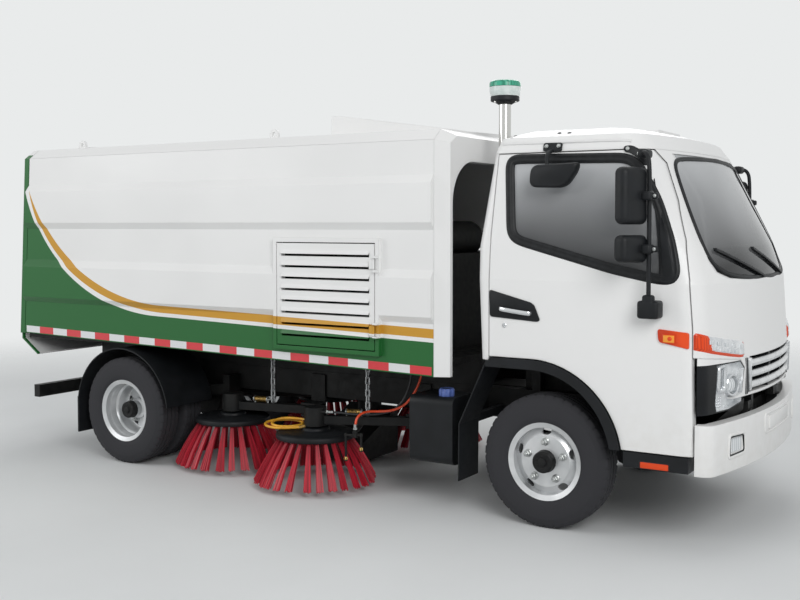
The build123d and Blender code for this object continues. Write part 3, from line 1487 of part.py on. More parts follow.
with BuildPart() as hoop:
    for depth, inset in ((0.0, 0.0), (BODY_HOOP_DEPTH, BODY_HOOP_INSET)):
        with BuildSketch(Plane.YZ.offset(body_front + depth)):
            with BuildLine():
                Polyline(
                    (-recess + inset, BODY_BOTTOM_FRONT),
                    (-recess + inset, BODY_SIDE_TOP - inset / 2),
                    (-BODY_ROOF_EDGE_WIDTH / 2 + inset, BODY_ROOF_EDGE - inset),
                    (BODY_ROOF_EDGE_WIDTH / 2 - inset, BODY_ROOF_EDGE - inset),
                    (recess - inset, BODY_SIDE_TOP - inset / 2),
                    (recess - inset, BODY_BOTTOM_FRONT),
                    close=True,
                )
            make_face()
    loft(ruled=True)
    with BuildSketch(Plane.YZ.offset(body_front - 10.0)) as arch:
        with Locations((0.0, HOOP_OPENING_TOP / 2)):
            Rectangle(HOOP_OPENING_WIDTH, HOOP_OPENING_TOP)
        fillet(arch.vertices().group_by(Axis.Y)[-1], HOOP_OPENING_RADIUS)
    extrude(amount=BODY_HOOP_DEPTH + 20.0, mode=Mode.SUBTRACT)
keep(hoop.part, "body_front")

floor_top = FLOOR_BOTTOM + FLOOR_THICKNESS
floor_rear = tail_x(FLOOR_BOTTOM + FLOOR_THICKNESS, joint)
bulkhead_x = (ahead(BULKHEAD_STATION), ahead(BULKHEAD_STATION) + BULKHEAD_THICKNESS)
bulkhead = front_prism(
    [
        (-inner_wall, floor_top - 5.0),
        (inner_wall, floor_top - 5.0),
        (inner_wall, BODY_SIDE_TOP),
        *roof_inner[1:4],
        (-inner_wall, BODY_SIDE_TOP),
    ],
    *bulkhead_x,
)
floor_pieces = [
    block((floor_rear, body_front), (-inner_wall, inner_wall), (FLOOR_BOTTOM, floor_top)), bulkhead
]
for side in (-1, 1):
    floor_pieces.append(
        block(
            (rail_rear, body_front),
            sorted((side * half_frame, side * rail_inner)),
            (FRAME_TOP, FLOOR_BOTTOM + 5.0),
        )
    )
duct_hole = post(
    (ahead(NOZZLE_STATION), DUCT_OFFSET), DUCT_DIAMETER - 16.0, FLOOR_BOTTOM - 10.0, floor_top + 10.0
)
keep(cut(fused(floor_pieces), [duct_hole]), "body_floor")

# Tailgate with its lip, hung from the rear edge of the roof
tail_band = side_prism(
    [
        (tail_x(TAIL_LOW, 0.0), TAIL_LOW),
        (tail_x(BODY_ROOF_TOP, 0.0), BODY_ROOF_TOP),
        (tail_x(BODY_ROOF_TOP, TAIL_THICKNESS), BODY_ROOF_TOP),
        (tail_x(TAIL_LOW, TAIL_THICKNESS), TAIL_LOW),
    ],
    -recess,
    recess,
)
tail_outline = front_prism(
    [(-recess, 500.0), (recess, 500.0), *reversed(roof_outline)], tail_outer - 100.0, tail_outer + 400.0
)
lip_points = [
    (tail_x(TAIL_LOW, 0.0), TAIL_LOW + 5.0),
    (tail_x(TAIL_LOW, 0.0), TAIL_LOW - 45.0),
    (tail_x(TAIL_LOW, LIP_REACH), TAIL_LOW - LIP_DEPTH),
    (tail_x(TAIL_LOW, LIP_REACH), TAIL_LOW - LIP_DEPTH + LIP_THICKNESS),
    (tail_x(TAIL_LOW, LIP_THICKNESS), TAIL_LOW - 45.0 + 4.0),
    (tail_x(TAIL_LOW, LIP_THICKNESS), TAIL_LOW + 5.0),
]
lip = side_prism(lip_points, -recess + 15.0, recess - 15.0)
tail_tubes = []
for side in (-1, 1):
    tube_y = (
        side * TAIL_HINGE_OFFSET - TAIL_TUBE_LENGTH / 2, side * TAIL_HINGE_OFFSET + TAIL_TUBE_LENGTH / 2
    )
    strap_x = (tail_hinge[0] - 48.0, tail_hinge[0] - PANEL_GAP / 2 - 2.0)
    tail_tubes.append(block(strap_x, tube_y, (BODY_ROOF_EDGE - 5.0, tail_hinge[1] + 6.0)))
    tail_tubes.append(cross_rod(*tail_hinge, TAIL_TUBE_DIAMETER, -tube_y[1], -tube_y[0]))
tail_bore = cross_rod(*tail_hinge, TAIL_PIN_DIAMETER + 2 * RUNNING_CLEARANCE, -wide, wide)
keep(cut(fused([common(tail_band, tail_outline), lip, *tail_tubes]), [tail_bore]), "tailgate")

# Louvred access doors
with BuildPart() as louvre:
    door_x = (louvre_x[0] + PANEL_GAP, louvre_x[1] - PANEL_GAP)
    door_z = (louvre_z[0] + PANEL_GAP, louvre_z[1] - PANEL_GAP)
    add(block(door_x, (-half_body, -half_body + LOUVRE_THICKNESS), door_z))
    middle = (louvre_x[0] + louvre_x[1]) / 2
    first = (louvre_z[0] + louvre_z[1]) / 2 - LOUVRE_PITCH * (LOUVRE_SLOTS - 1) / 2
    for index in range(LOUVRE_SLOTS):
        slot_z = first + index * LOUVRE_PITCH
        slot_x = (middle - LOUVRE_SLOT_LENGTH / 2, middle + LOUVRE_SLOT_LENGTH / 2)
        add(
            block(
                slot_x, (-wide, -500.0), (slot_z - LOUVRE_SLOT_HEIGHT / 2, slot_z + LOUVRE_SLOT_HEIGHT / 2)
            ),
            mode=Mode.SUBTRACT,
        )
        with BuildSketch(Plane.YZ.offset(slot_x[0])):
            with BuildLine():
                Polyline(
                    (-half_body + 2.0, slot_z + LOUVRE_SLOT_HEIGHT / 2 + 18.0),
                    (-half_body - LOUVRE_BLADE_REACH, slot_z + 2.0),
                    (-half_body - LOUVRE_BLADE_REACH + 6.0, slot_z + 2.0),
                    (-half_body + 2.0, slot_z + LOUVRE_SLOT_HEIGHT / 2 + 8.0),
                    close=True,
                )
            make_face()
        extrude(amount=LOUVRE_SLOT_LENGTH)
    for height in LOUVRE_HINGES:
        tube_z = (height - HINGE_TUBE_LENGTH / 2, height + HINGE_TUBE_LENGTH / 2)
        add(
            block(
                (hinge_at[0] - 30.0, hinge_at[0] - PANEL_GAP / 2 - 1.0),
                (hinge_at[1] - 4.0, -half_body + 4.0),
                tube_z,
            )
        )
        add(post(hinge_at, HINGE_TUBE_DIAMETER, *tube_z))
        add(post(hinge_at, HINGE_PIN_DIAMETER + 2 * RUNNING_CLEARANCE, *tube_z), mode=Mode.SUBTRACT)
keep_pair(louvre.part, "louvre_door")

# Lifting eyes on the roof
eyes = []
for station in EYE_STATIONS:
    with BuildPart() as eye:
        with BuildSketch(Plane.XZ.offset(EYE_SPAN / 2 - EYE_THICKNESS / 2)):
            centre = (ahead(station), BODY_ROOF_EDGE + 2.0 + EYE_HEIGHT - EYE_WIDTH / 2)
            with Locations(centre):
                Circle(EYE_WIDTH / 2)
            with Locations((centre[0], centre[1] - 30.0)):
                Rectangle(EYE_WIDTH, 60.0)
            with Locations(centre):
                Circle(EYE_BORE / 2, mode=Mode.SUBTRACT)
        extrude(amount=EYE_THICKNESS)
        add(body_roof, mode=Mode.SUBTRACT)
        add(roof_room, mode=Mode.SUBTRACT)
    eyes.extend(eye.part.solids())
    eyes.extend(left_of(eye.part).solids())
keep(Compound(children=eyes), "lifting_eyes")

# Auxiliary engine and suction nozzle
AUX_FRONT = -950.0
AUX_LENGTH = 800.0
AUX_WIDTH = 760.0
AUX_HEIGHT = 640.0
FILTER_DIAMETER = 240.0
FILTER_LENGTH = 520.0
aux = fused(
    [
        block(
            (ahead(AUX_FRONT) - AUX_LENGTH, ahead(AUX_FRONT)),
            (-AUX_WIDTH / 2, AUX_WIDTH / 2),
            (floor_top, floor_top + AUX_HEIGHT),
        ),
        cross_rod(
            ahead(AUX_FRONT - 180.0),
            floor_top + AUX_HEIGHT + FILTER_DIAMETER / 2 - 20.0,
            FILTER_DIAMETER,
            -FILTER_LENGTH / 2,
            FILTER_LENGTH / 2,
        ),
    ]
)
keep(aux, "auxiliary_engine")
nozzle_x = (ahead(NOZZLE_STATION) - NOZZLE_LENGTH / 2, ahead(NOZZLE_STATION) + NOZZLE_LENGTH / 2)
nozzle = fused(
    [
        front_prism(
            [
                (-NOZZLE_WIDTH / 2, NOZZLE_BOTTOM),
                (NOZZLE_WIDTH / 2, NOZZLE_BOTTOM),
                (NOZZLE_WIDTH / 2, NOZZLE_TOP),
                (-NOZZLE_WIDTH / 2, NOZZLE_BOTTOM + 120.0),
            ],
            *nozzle_x,
        ),
        post((ahead(NOZZLE_STATION), DUCT_OFFSET), DUCT_DIAMETER, NOZZLE_TOP - 150.0, FLOOR_BOTTOM),
    ]
)
keep(
    cut(nozzle, [block((nozzle_x[1] - 1.0, nozzle_x[1] + 200.0), (-wide, wide), (0.0, 300.0))]),
    "suction_nozzle",
)


# Brushes and the arms that carry them
def ring_brush():
    tip_half = 15.0
    with BuildPart() as brush:
        hub_bore = BRUSH_SHAFT_DIAMETER / 2 + RUNNING_CLEARANCE
        rim = BRUSH_DISC_DIAMETER / 2
        points = [
            (hub_bore, BRUSH_DISC_BOTTOM + 13.0),
            (hub_bore, BRUSH_HUB_TOP),
            (62.0, BRUSH_HUB_TOP),
            (72.0, BRUSH_HUB_TOP - 20.0),
            (rim - 38.0, BRUSH_HUB_TOP - 30.0),
            (rim, BRUSH_DISC_BOTTOM + 16.0),
            (rim, BRUSH_DISC_BOTTOM),
            (190.0, BRUSH_DISC_BOTTOM),
            (190.0, BRUSH_DISC_BOTTOM + 13.0),
        ]
        add(turned(Plane.XZ, points, Axis.Z))
        for index in range(BRUSH_TUFTS):
            turn = 360.0 * index / BRUSH_TUFTS
            root = Plane.XY.rotated((0, 0, turn)).offset(BRUSH_DISC_BOTTOM + 8.0)
            tip = Plane.XY.rotated((0, 0, turn)).offset(BRUSH_TIP_HEIGHT)
            with BuildPart(mode=Mode.PRIVATE) as tuft:
                with BuildSketch(root):
                    with Locations((TUFT_ROOT_RADIUS, 0.0)):
                        Rectangle(TUFT_THICKNESS, TUFT_ROOT_WIDTH)
                with BuildSketch(tip):
                    with Locations((BRUSH_TIP_RADIUS - tip_half, 0.0)):
                        Rectangle(2 * tip_half, TUFT_TIP_WIDTH)
                loft(ruled=True)
            add(tuft.part)
    return brush.part


def chain_links(x, y, low):
    links = []
    pitch = LINK_LENGTH - 2 * LINK_BAR - LINK_SLACK
    half_length = LINK_LENGTH / 2
    half_width = LINK_WIDTH / 2
    bevel = 9.0
    for index in range(LINK_COUNT):
        height = low + half_length + index * pitch
        plane = Plane.XZ if index % 2 else Plane.YZ
        with BuildPart() as link:
            with BuildSketch(Plane(origin=(x, y, height), x_dir=plane.x_dir, z_dir=plane.z_dir)):
                for grow, mode in ((0.0, Mode.ADD), (LINK_BAR, Mode.SUBTRACT)):
                    wide_half = half_width - grow
                    long_half = half_length - grow
                    snip = bevel - grow / 2
                    with BuildLine():
                        Polyline(
                            (wide_half, -long_half + snip),
                            (wide_half, long_half - snip),
                            (wide_half - snip, long_half),
                            (-wide_half + snip, long_half),
                            (-wide_half, long_half - snip),
                            (-wide_half, -long_half + snip),
                            (-wide_half + snip, -long_half),
                            (wide_half - snip, -long_half),
                            close=True,
                        )
                    make_face(mode=mode)
            extrude(amount=LINK_BAR / 2, both=True)
        links.extend(link.part.solids())
    return links


def on_arm(brush, along, out, height):
    pivot = (ahead(brush.pivot), -PIVOT_OFFSET)
    run = (ahead(brush.station) - pivot[0], -brush.offset - pivot[1])
    length = hypot(*run)
    lead = (run[0] / length, run[1] / length)
    return (pivot[0] + lead[0] * along - lead[1] * out, pivot[1] + lead[1] * along + lead[0] * out, height)


def arm_rod(brush, start, end, diameter):
    near = Vector(*on_arm(brush, *start))
    far = Vector(*on_arm(brush, *end))
    with BuildPart() as rod:
        with BuildSketch(Plane(origin=near, z_dir=far - near)):
            Circle(diameter / 2)
        extrude(amount=(far - near).length)
    return rod.part


def spray_gear(brush):
    lead = Vector(*on_arm(brush, 1.0, 0.0, 0.0)) - Vector(*on_arm(brush, 0.0, 0.0, 0.0))
    bar_end = SPRAY_PIPE_OFFSET + SPRAY_BAR_WIDTH / 2
    with BuildPart() as bar:
        origin = on_arm(brush, SPRAY_BAR_STATION, bar_end / 2, ARM_BOTTOM - SPRAY_BAR_THICKNESS)
        with BuildSketch(Plane(origin=origin, x_dir=lead, z_dir=(0, 0, 1))):
            Rectangle(SPRAY_BAR_WIDTH, bar_end)
        extrude(amount=SPRAY_BAR_THICKNESS)
    pieces = [bar.part]
    tee_low = (SPRAY_BAR_STATION, SPRAY_PIPE_OFFSET, SPRAY_TEE_BOTTOM)
    tee_high = (SPRAY_BAR_STATION, SPRAY_PIPE_OFFSET, SPRAY_TEE_TOP)
    pieces.append(arm_rod(brush, tee_low, tee_high, SPRAY_TEE_DIAMETER))
    ends = [(drop.station, SPRAY_PIPE_OFFSET, SPRAY_PIPE_HEIGHT) for drop in SPRAY_DROPS]
    pieces.append(arm_rod(brush, ends[0], ends[1], SPRAY_PIPE_DIAMETER))
    for drop, top in zip(SPRAY_DROPS, ends):
        foot = (drop.station, SPRAY_PIPE_OFFSET, drop.end)
        shoulder = (drop.station, SPRAY_PIPE_OFFSET, drop.end + SPRAY_NOZZLE_LENGTH)
        elbow_low = (top[0], top[1], SPRAY_PIPE_HEIGHT - SPRAY_ELBOW_HEIGHT / 2)
        elbow_high = (top[0], top[1], SPRAY_PIPE_HEIGHT + SPRAY_ELBOW_HEIGHT / 2)
        pieces.append(arm_rod(brush, elbow_low, elbow_high, SPRAY_ELBOW_DIAMETER))
        pieces.append(arm_rod(brush, shoulder, elbow_low, SPRAY_PIPE_DIAMETER))
        pieces.append(arm_rod(brush, foot, shoulder, SPRAY_NOZZLE_DIAMETER))
    return pieces


brush_shape = ring_brush()
hose_top = FLOOR_BOTTOM - RUNNING_CLEARANCE
HYDRAULIC_ROUTE = [
    (600.0, 45.0, 497.0),
    (520.0, 45.0, 497.0),
    (430.0, 52.0, 487.0),
    (335.0, 53.0, 485.0),
    (240.0, 54.0, 493.0),
    (155.0, 61.0, 516.0),
    (88.0, 72.0, 575.0),
    (46.0, 78.0, 665.0),
    (24.0, 72.0, 768.0),
    (24.0, 72.0, hose_top),
]
SPRAY_ROUTE = [
    (-46.0, 66.0, hose_top),
    (-46.0, 66.0, 786.0),
    (-22.0, 72.0, 702.0),
    (18.0, 80.0, 622.0),
    (75.0, 86.0, 556.0),
    (150.0, 92.0, 524.0),
    (235.0, 112.0, 520.0),
    (305.0, 155.0, 528.0),
    (352.0, 214.0, 518.0),
    (SPRAY_BAR_STATION, SPRAY_PIPE_OFFSET, 476.0),
    (SPRAY_BAR_STATION, SPRAY_PIPE_OFFSET, SPRAY_TEE_TOP),
]
for brush in BRUSHES:
    centre = (ahead(brush.station), -brush.offset)
    pivot = (ahead(brush.pivot), -PIVOT_OFFSET)
    keep_pair(brush_shape.moved(Location((centre[0], centre[1], 0.0))), f"brush_{brush.name}")
    run = (pivot[0] - centre[0], pivot[1] - centre[1])
    length = hypot(*run)
    direction = (run[0] / length, run[1] / length, 0.0)
    with BuildPart() as arm:
        with BuildSketch(
            Plane(origin=(centre[0], centre[1], ARM_BOTTOM), x_dir=direction, z_dir=(0, 0, 1))
        ):
            with Locations((length / 2, 0.0)):
                Rectangle(length, ARM_WIDTH)
            with Locations((length, 0.0)):
                Circle(PIVOT_BOSS_DIAMETER / 2)
        extrude(amount=ARM_TOP - ARM_BOTTOM)
        add(post(centre, MOTOR_DIAMETER, MOTOR_BOTTOM, MOTOR_TOP))
        add(post(centre, BRUSH_SHAFT_DIAMETER, BRUSH_DISC_BOTTOM + 14.0, MOTOR_BOTTOM + 5.0))
        pivot_hole = PIVOT_DIAMETER + 2 * RUNNING_CLEARANCE
        add(post(pivot, pivot_hole, ARM_BOTTOM - 5.0, ARM_TOP + 5.0), mode=Mode.SUBTRACT)
    chain_at = (centre[0] + run[0] * CHAIN_SHARE, centre[1] + run[1] * CHAIN_SHARE)
    chain = chain_links(*chain_at, ARM_TOP)
    keep(left_of(Compound(children=list(arm.part.solids()) + chain)), f"brush_arm_{brush.name}_left")
    whole_arm = arm.part
    if brush.name == "front":
        port = HYDRAULIC_ROUTE[0]
        fitting = arm_rod(
            brush, (port[0] + HOSE_FITTING_LENGTH, port[1], port[2]), port, HOSE_FITTING_DIAMETER
        )
        whole_arm = fused([arm.part, fitting] + spray_gear(brush))
        keep(
            hose([on_arm(brush, *point) for point in HYDRAULIC_ROUTE], HYDRAULIC_HOSE_DIAMETER),
            "hydraulic_hose",
        )
        keep(hose([on_arm(brush, *point) for point in SPRAY_ROUTE], SPRAY_HOSE_DIAMETER), "spray_hose")
        coil_reach = MOTOR_DIAMETER / 2 + COIL_CLEARANCE + COIL_LENGTH / 2
        heading = Vector(COIL_HEADING[0], COIL_HEADING[1], 0.0).normalized()
        coil_at = (centre[0] + heading.X * coil_reach, centre[1] + heading.Y * coil_reach, COIL_HEIGHT)
        coil_plane = Plane(origin=coil_at, x_dir=heading, z_dir=(0, 0, 1)).rotated((COIL_TILT, 0, 0))
        with BuildPart() as coil:
            with BuildSketch(coil_plane):
                SlotOverall(COIL_LENGTH, COIL_WIDTH)
                SlotOverall(COIL_LENGTH - 2 * COIL_BAND, COIL_WIDTH - 2 * COIL_BAND, mode=Mode.SUBTRACT)
            extrude(amount=COIL_BAND / 2, both=True)
        keep(coil.part, "water_hose_coil")
    keep(Compound(children=list(whole_arm.solids()) + chain), f"brush_arm_{brush.name}_right")
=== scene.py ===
"""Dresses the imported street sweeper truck: paint and livery, tyres, brushes, lamps, mirrors and trim."""
import json
import math
import random

import bmesh
import bpy
from mathutils import Matrix, Vector
from mathutils.bvhtree import BVHTree

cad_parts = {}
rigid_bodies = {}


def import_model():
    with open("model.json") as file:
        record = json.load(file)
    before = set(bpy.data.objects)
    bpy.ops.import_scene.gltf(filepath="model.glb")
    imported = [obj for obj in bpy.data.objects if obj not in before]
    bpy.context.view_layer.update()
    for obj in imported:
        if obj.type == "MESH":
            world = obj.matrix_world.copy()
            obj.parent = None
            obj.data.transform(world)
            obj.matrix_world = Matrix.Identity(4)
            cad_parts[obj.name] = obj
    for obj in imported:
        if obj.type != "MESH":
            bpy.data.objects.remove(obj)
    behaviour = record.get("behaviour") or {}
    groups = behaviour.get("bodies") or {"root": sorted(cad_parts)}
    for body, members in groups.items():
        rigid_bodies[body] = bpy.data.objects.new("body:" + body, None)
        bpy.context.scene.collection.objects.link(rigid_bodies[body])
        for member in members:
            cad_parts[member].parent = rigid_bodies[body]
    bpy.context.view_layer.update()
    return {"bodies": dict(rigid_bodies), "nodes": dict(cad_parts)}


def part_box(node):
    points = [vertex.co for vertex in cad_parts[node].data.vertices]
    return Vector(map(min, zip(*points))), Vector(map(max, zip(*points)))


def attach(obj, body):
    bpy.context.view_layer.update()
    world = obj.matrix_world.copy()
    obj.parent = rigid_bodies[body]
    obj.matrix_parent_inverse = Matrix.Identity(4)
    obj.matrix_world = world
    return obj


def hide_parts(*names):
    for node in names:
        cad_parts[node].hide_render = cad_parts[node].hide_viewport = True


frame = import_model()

bl_info = {
    "name": "Street sweeper truck",
    "version": (1, 0, 0),
    "blender": (4, 5, 0),
    "location": "3D View > Sidebar > Sweeper",
    "description": "Paint, tyres, brushes, lamps, glazing and trim for the packed sweeper truck",
    "category": "Object",
}

NODES = frame["nodes"]
MM = 0.001
FRONT_AXLE_X = 1.664
REAR_AXLE_X = -1.644
AXLE_Z = 0.3875
FRONT_RIM_Y = 0.834
REAR_RIM_Y = 0.779
SIDES = (("right", -1.0), ("left", 1.0))
# The joint of the tailgate and the sides, carried down the lean of the tail to the ground.
TAIL_LEAN = 0.0629
TAIL_EDGE = -2.711 - 0.9 * TAIL_LEAN
BODY_FRONT_X = 0.992
BODY_HALF_WIDTH = 1.025
# How far back along the truck the livery is drawn for each metre that the side lies in, at its ribs.
RIB_DRIFT = 0.6
# The upper edge of the green field and both edges of the gold band, set after the photograph:
# height at the body's front, slope, where the sweep starts, its length and its rise.
LIVERY_EDGES = ((1.0384, -0.025, -1.2944, 1.3766, 1.1123), (1.0629, -0.026, -1.2192, 1.3900, 0.9827),
                (1.1197, -0.024, -1.2179, 1.4586, 1.1914))
# The wave texture's bands lie this far apart at a scale of one.
WAVE_STEP = 0.314
# Rays that look for the truck's surface start this far ahead of its middle, or aside of it.
CLEAR_AHEAD = 3.3
CLEAR_ASIDE = 1.6


def linear(code):
    """Turns an sRGB hex colour into linear red, green, blue and alpha."""
    parts = [int(code[i:i + 2], 16) / 255 for i in (1, 3, 5)]
    return tuple(c / 12.92 if c <= 0.04045 else ((c + 0.055) / 1.055) ** 2.4 for c in parts) + (1.0,)


def node(tree, kind, inputs=None, **settings):
    """Adds one shader node with its settings, and fills or links its inputs."""
    made = tree.nodes.new(kind)
    for key, value in settings.items():
        setattr(made, key, value)
    for key, value in (inputs or {}).items():
        if isinstance(value, bpy.types.NodeSocket):
            tree.links.new(value, made.inputs[key])
        else:
            made.inputs[key].default_value = value
    return made


def sums(tree, operation, *values):
    """The result of one arithmetic node."""
    return node(tree, "ShaderNodeMath", dict(enumerate(values)), operation=operation).outputs[0]


def ranged(tree, value, start, end, low=0.0, high=1.0):
    """A value carried from the range start to end into the range low to high, and held inside it."""
    return node(tree, "ShaderNodeMapRange",
                {"Value": value, "From Min": start, "From Max": end, "To Min": low,
                 "To Max": high}).outputs["Result"]


def blended(tree, factor, under, over):
    """One colour laid over another by a factor."""
    return node(tree, "ShaderNodeMix", {"Factor": factor, "A": under, "B": over},
                data_type="RGBA").outputs["Result"]


def surface(name, colour, roughness, **sockets):
    """Starts a material: its principled shader with the sockets that are the same all over."""
    made = bpy.data.materials.new(name)
    made.use_nodes = True
    shader = made.node_tree.nodes["Principled BSDF"]
    shader.inputs["Base Color"].default_value = linear(colour)
    shader.inputs["Roughness"].default_value = roughness
    for key, value in sockets.items():
        shader.inputs[key.replace("_", " ")].default_value = value
    return made, made.node_tree, shader


def place(tree):
    """The point of the surface in the truck's own frame, in metres."""
    return node(tree, "ShaderNodeTexCoord").outputs["Object"]


def apart(tree):
    """The X, Y and Z of the surface point, each on its own."""
    return node(tree, "ShaderNodeSeparateXYZ", {"Vector": place(tree)}).outputs


def mottle(tree, size_mm, detail=4.0):
    """An uneven cloud pattern whose patches are size_mm across."""
    return node(tree, "ShaderNodeTexNoise",
                {"Vector": place(tree), "Scale": 1.0 / (size_mm * MM), "Detail": detail,
                 "Roughness": 0.55}).outputs["Fac"]


def ribbed(tree, width_mm, direction, distortion=0.0):
    """Ribs width_mm wide, set along a direction with hollows as wide between them."""
    return node(tree, "ShaderNodeTexWave", {"Vector": place(tree),
                                            "Scale": WAVE_STEP / (width_mm * MM) / 2.0,
                                            "Distortion": distortion},
                bands_direction=direction).outputs["Fac"]


def shaded(tree, shader, factor, low, high, start=0.35, end=0.65):
    """Lets the colour run from low to high as the factor goes from start to end."""
    ramp = node(tree, "ShaderNodeValToRGB", {"Fac": factor})
    for stop, place_at, colour in zip(ramp.color_ramp.elements, (start, end), (low, high)):
        stop.position = place_at
        stop.color = linear(colour)
    tree.links.new(ramp.outputs["Color"], shader.inputs["Base Color"])
    return ramp.outputs["Color"]


def relief(tree, shader, height, depth_mm, edge_mm=0.0):
    """Raises the surface by a pattern's height, and lets sharp edges shade as if rounded to edge_mm."""
    inputs = {"Height": height, "Distance": depth_mm * MM, "Strength": 1.0}
    if edge_mm:
        inputs["Normal"] = node(tree, "ShaderNodeBevel", {"Radius": edge_mm * MM},
                                samples=4).outputs["Normal"]
    bump = node(tree, "ShaderNodeBump", inputs)
    tree.links.new(bump.outputs["Normal"], shader.inputs["Normal"])


def varied(tree, shader, factor, low, high):
    """Lets the roughness run from low to high with a pattern."""
    tree.links.new(ranged(tree, factor, 0.3, 0.7, low, high), shader.inputs["Roughness"])


def patterned(name, colour, roughness, shade=None, bump=None, spread=None, **sockets):
    """A material whose colour, height and roughness follow cloud patterns.

    Each of the three starts with its cloud's size in mm, and its detail where that isn't the usual one.
    """
    made, tree, shader = surface(name, colour, roughness, **sockets)
    for lay, values in ((shaded, shade), (relief, bump), (varied, spread)):
        if values:
            cloud, *rest = values
            lay(tree, shader, mottle(tree, *cloud), *rest)
    return made


# Materials

def enamel(name):
    """White two-pack enamel: a clear gloss over a faint orange peel."""
    made, tree, shader = surface(name, "#EDEDEC", 0.34, Coat_Weight=0.12, Coat_Roughness=0.1,
                                 Specular_IOR_Level=0.3)
    relief(tree, shader, mottle(tree, 7.0, 1.0), 0.05, 7.0)
    varied(tree, shader, mottle(tree, 900.0, 2.0), 0.32, 0.36)
    return made, tree, shader


def coach_enamel(name):
    # Sprayed white enamel with road dust low down.
    made, tree, shader = enamel(name)
    low_down = ranged(tree, apart(tree)["Z"], 1.0, 0.35, high=0.35)
    dust = sums(tree, "MULTIPLY", low_down, mottle(tree, 60.0))
    shaded(tree, shader, dust, "#EDEDEC", "#CFCBC3", 0.05, 0.6)
    return made


def swept_edge(tree, drawn_x, height, level, slope, start, length, rise):
    """One above a livery edge and nought below; ahead of start the edge is straight, then it sweeps up."""
    run = ranged(tree, drawn_x, start, start - length, high=0.9999)
    rest = sums(tree, "SUBTRACT", 1.0, sums(tree, "MULTIPLY", run, run))
    cosine = sums(tree, "POWER", rest, 0.5)
    curve = sums(tree, "MULTIPLY_ADD", cosine, -rise, level + rise - slope * BODY_FRONT_X)
    edge = sums(tree, "MULTIPLY_ADD", drawn_x, slope, curve)
    return ranged(tree, sums(tree, "SUBTRACT", height, edge), -0.0008, 0.0008)


def livery_enamel(name):
    # The body's white enamel with sprayed green and gold fields whose edges sweep up to the tail.
    made, tree, shader = enamel(name)
    point = apart(tree)
    aside = sums(tree, "ABSOLUTE", point["Y"])
    hollow = sums(tree, "SUBTRACT", BODY_HALF_WIDTH, aside)
    drawn_x = sums(tree, "MULTIPLY_ADD", hollow, RIB_DRIFT, point["X"])
    over_green, over_low, over_high = (swept_edge(tree, drawn_x, point["Z"], *edge) for edge in LIVERY_EDGES)
    outer = sums(tree, "GREATER_THAN", aside, 0.9535)
    upright_x = sums(tree, "MULTIPLY_ADD", point["Z"], -TAIL_LEAN, point["X"])
    ahead_of_tail = sums(tree, "GREATER_THAN", upright_x, TAIL_EDGE)
    at_tail = sums(tree, "SUBTRACT", 1.0, ahead_of_tail)
    any_green = sums(tree, "MAXIMUM", sums(tree, "SUBTRACT", 1.0, over_green), at_tail)
    green = sums(tree, "MULTIPLY", any_green, outer)
    band = sums(tree, "MULTIPLY", sums(tree, "SUBTRACT", 1.0, over_high), over_low)
    gold = sums(tree, "MULTIPLY", band, sums(tree, "MULTIPLY", outer, ahead_of_tail))
    white = shaded(tree, shader, mottle(tree, 900.0, 2.0), "#EBEBEA", "#F0F0EF")
    settings = bpy.context.scene.sweeper
    with_green = blended(tree, green, white, (*settings.livery_green, 1.0))
    both = blended(tree, gold, with_green, (*settings.livery_gold, 1.0))
    tree.links.new(both, shader.inputs["Base Color"])
    return made


def chassis_paint(name):
    # Brushed-on black chassis paint: satin, with pale dust lying in patches.
    return patterned(name, "#141516", 0.55, ((90.0,), "#0F1011", "#1D1D1C"), ((4.0, 2.0), 0.15, 4.0),
                     ((45.0,), 0.4, 0.65), Specular_IOR_Level=0.25)


def arm_paint(name):
    # The black paint of the brush arms, with the bright zinc of the lift chains above them.
    made = chassis_paint(name)
    tree = made.node_tree
    shader = tree.nodes["Principled BSDF"]
    point = apart(tree)
    flat = node(tree, "ShaderNodeCombineXYZ", {"X": point["X"], "Y": sums(tree, "ABSOLUTE", point["Y"])})
    near = []
    for x, y in ((0.2465, 0.609), (-0.6185, 0.532)):
        away = node(tree, "ShaderNodeVectorMath", {0: flat.outputs["Vector"], 1: (x, y, 0.0)},
                    operation="DISTANCE")
        near.append(sums(tree, "LESS_THAN", away.outputs["Value"], 0.03))
    above = sums(tree, "GREATER_THAN", point["Z"], 0.4685)
    chain = sums(tree, "MULTIPLY", sums(tree, "MAXIMUM", *near), above)
    black = shader.inputs["Base Color"].links[0].from_socket
    tree.links.new(blended(tree, chain, black, linear("#B9BBBC")), shader.inputs["Base Color"])
    tree.links.new(sums(tree, "MULTIPLY", chain, 0.7), shader.inputs["Metallic"])
    return made


def cast_iron(name):
    # Painted sand casting: a dull, grainy skin.
    return patterned(name, "#1C1D1E", 0.6, ((40.0,), "#161718", "#262523"), ((3.0, 3.0), 0.5),
                     Specular_IOR_Level=0.25)


def tyre_rubber(name):
    # Vulcanised rubber: matt charcoal, dust held in a fine grain.
    return patterned(name, "#0F1011", 0.76, ((70.0,), "#0C0D0E", "#151515"), ((2.5, 2.0), 0.12),
                     ((30.0,), 0.62, 0.82), Specular_IOR_Level=0.14)


def moulded_polypropylene(name):
    # Injection-moulded black polypropylene with a pebbled grain and a soft sheen.
    made, tree, shader = surface(name, "#16181A", 0.5, Specular_IOR_Level=0.25)
    shaded(tree, shader, mottle(tree, 120.0), "#131517", "#1B1D20")
    cells = node(tree, "ShaderNodeTexVoronoi",
                 {"Vector": place(tree), "Scale": 1.0 / (2.2 * MM)}).outputs["Distance"]
    relief(tree, shader, cells, 0.12, 6.0)
    varied(tree, shader, mottle(tree, 60.0), 0.42, 0.58)
    return made


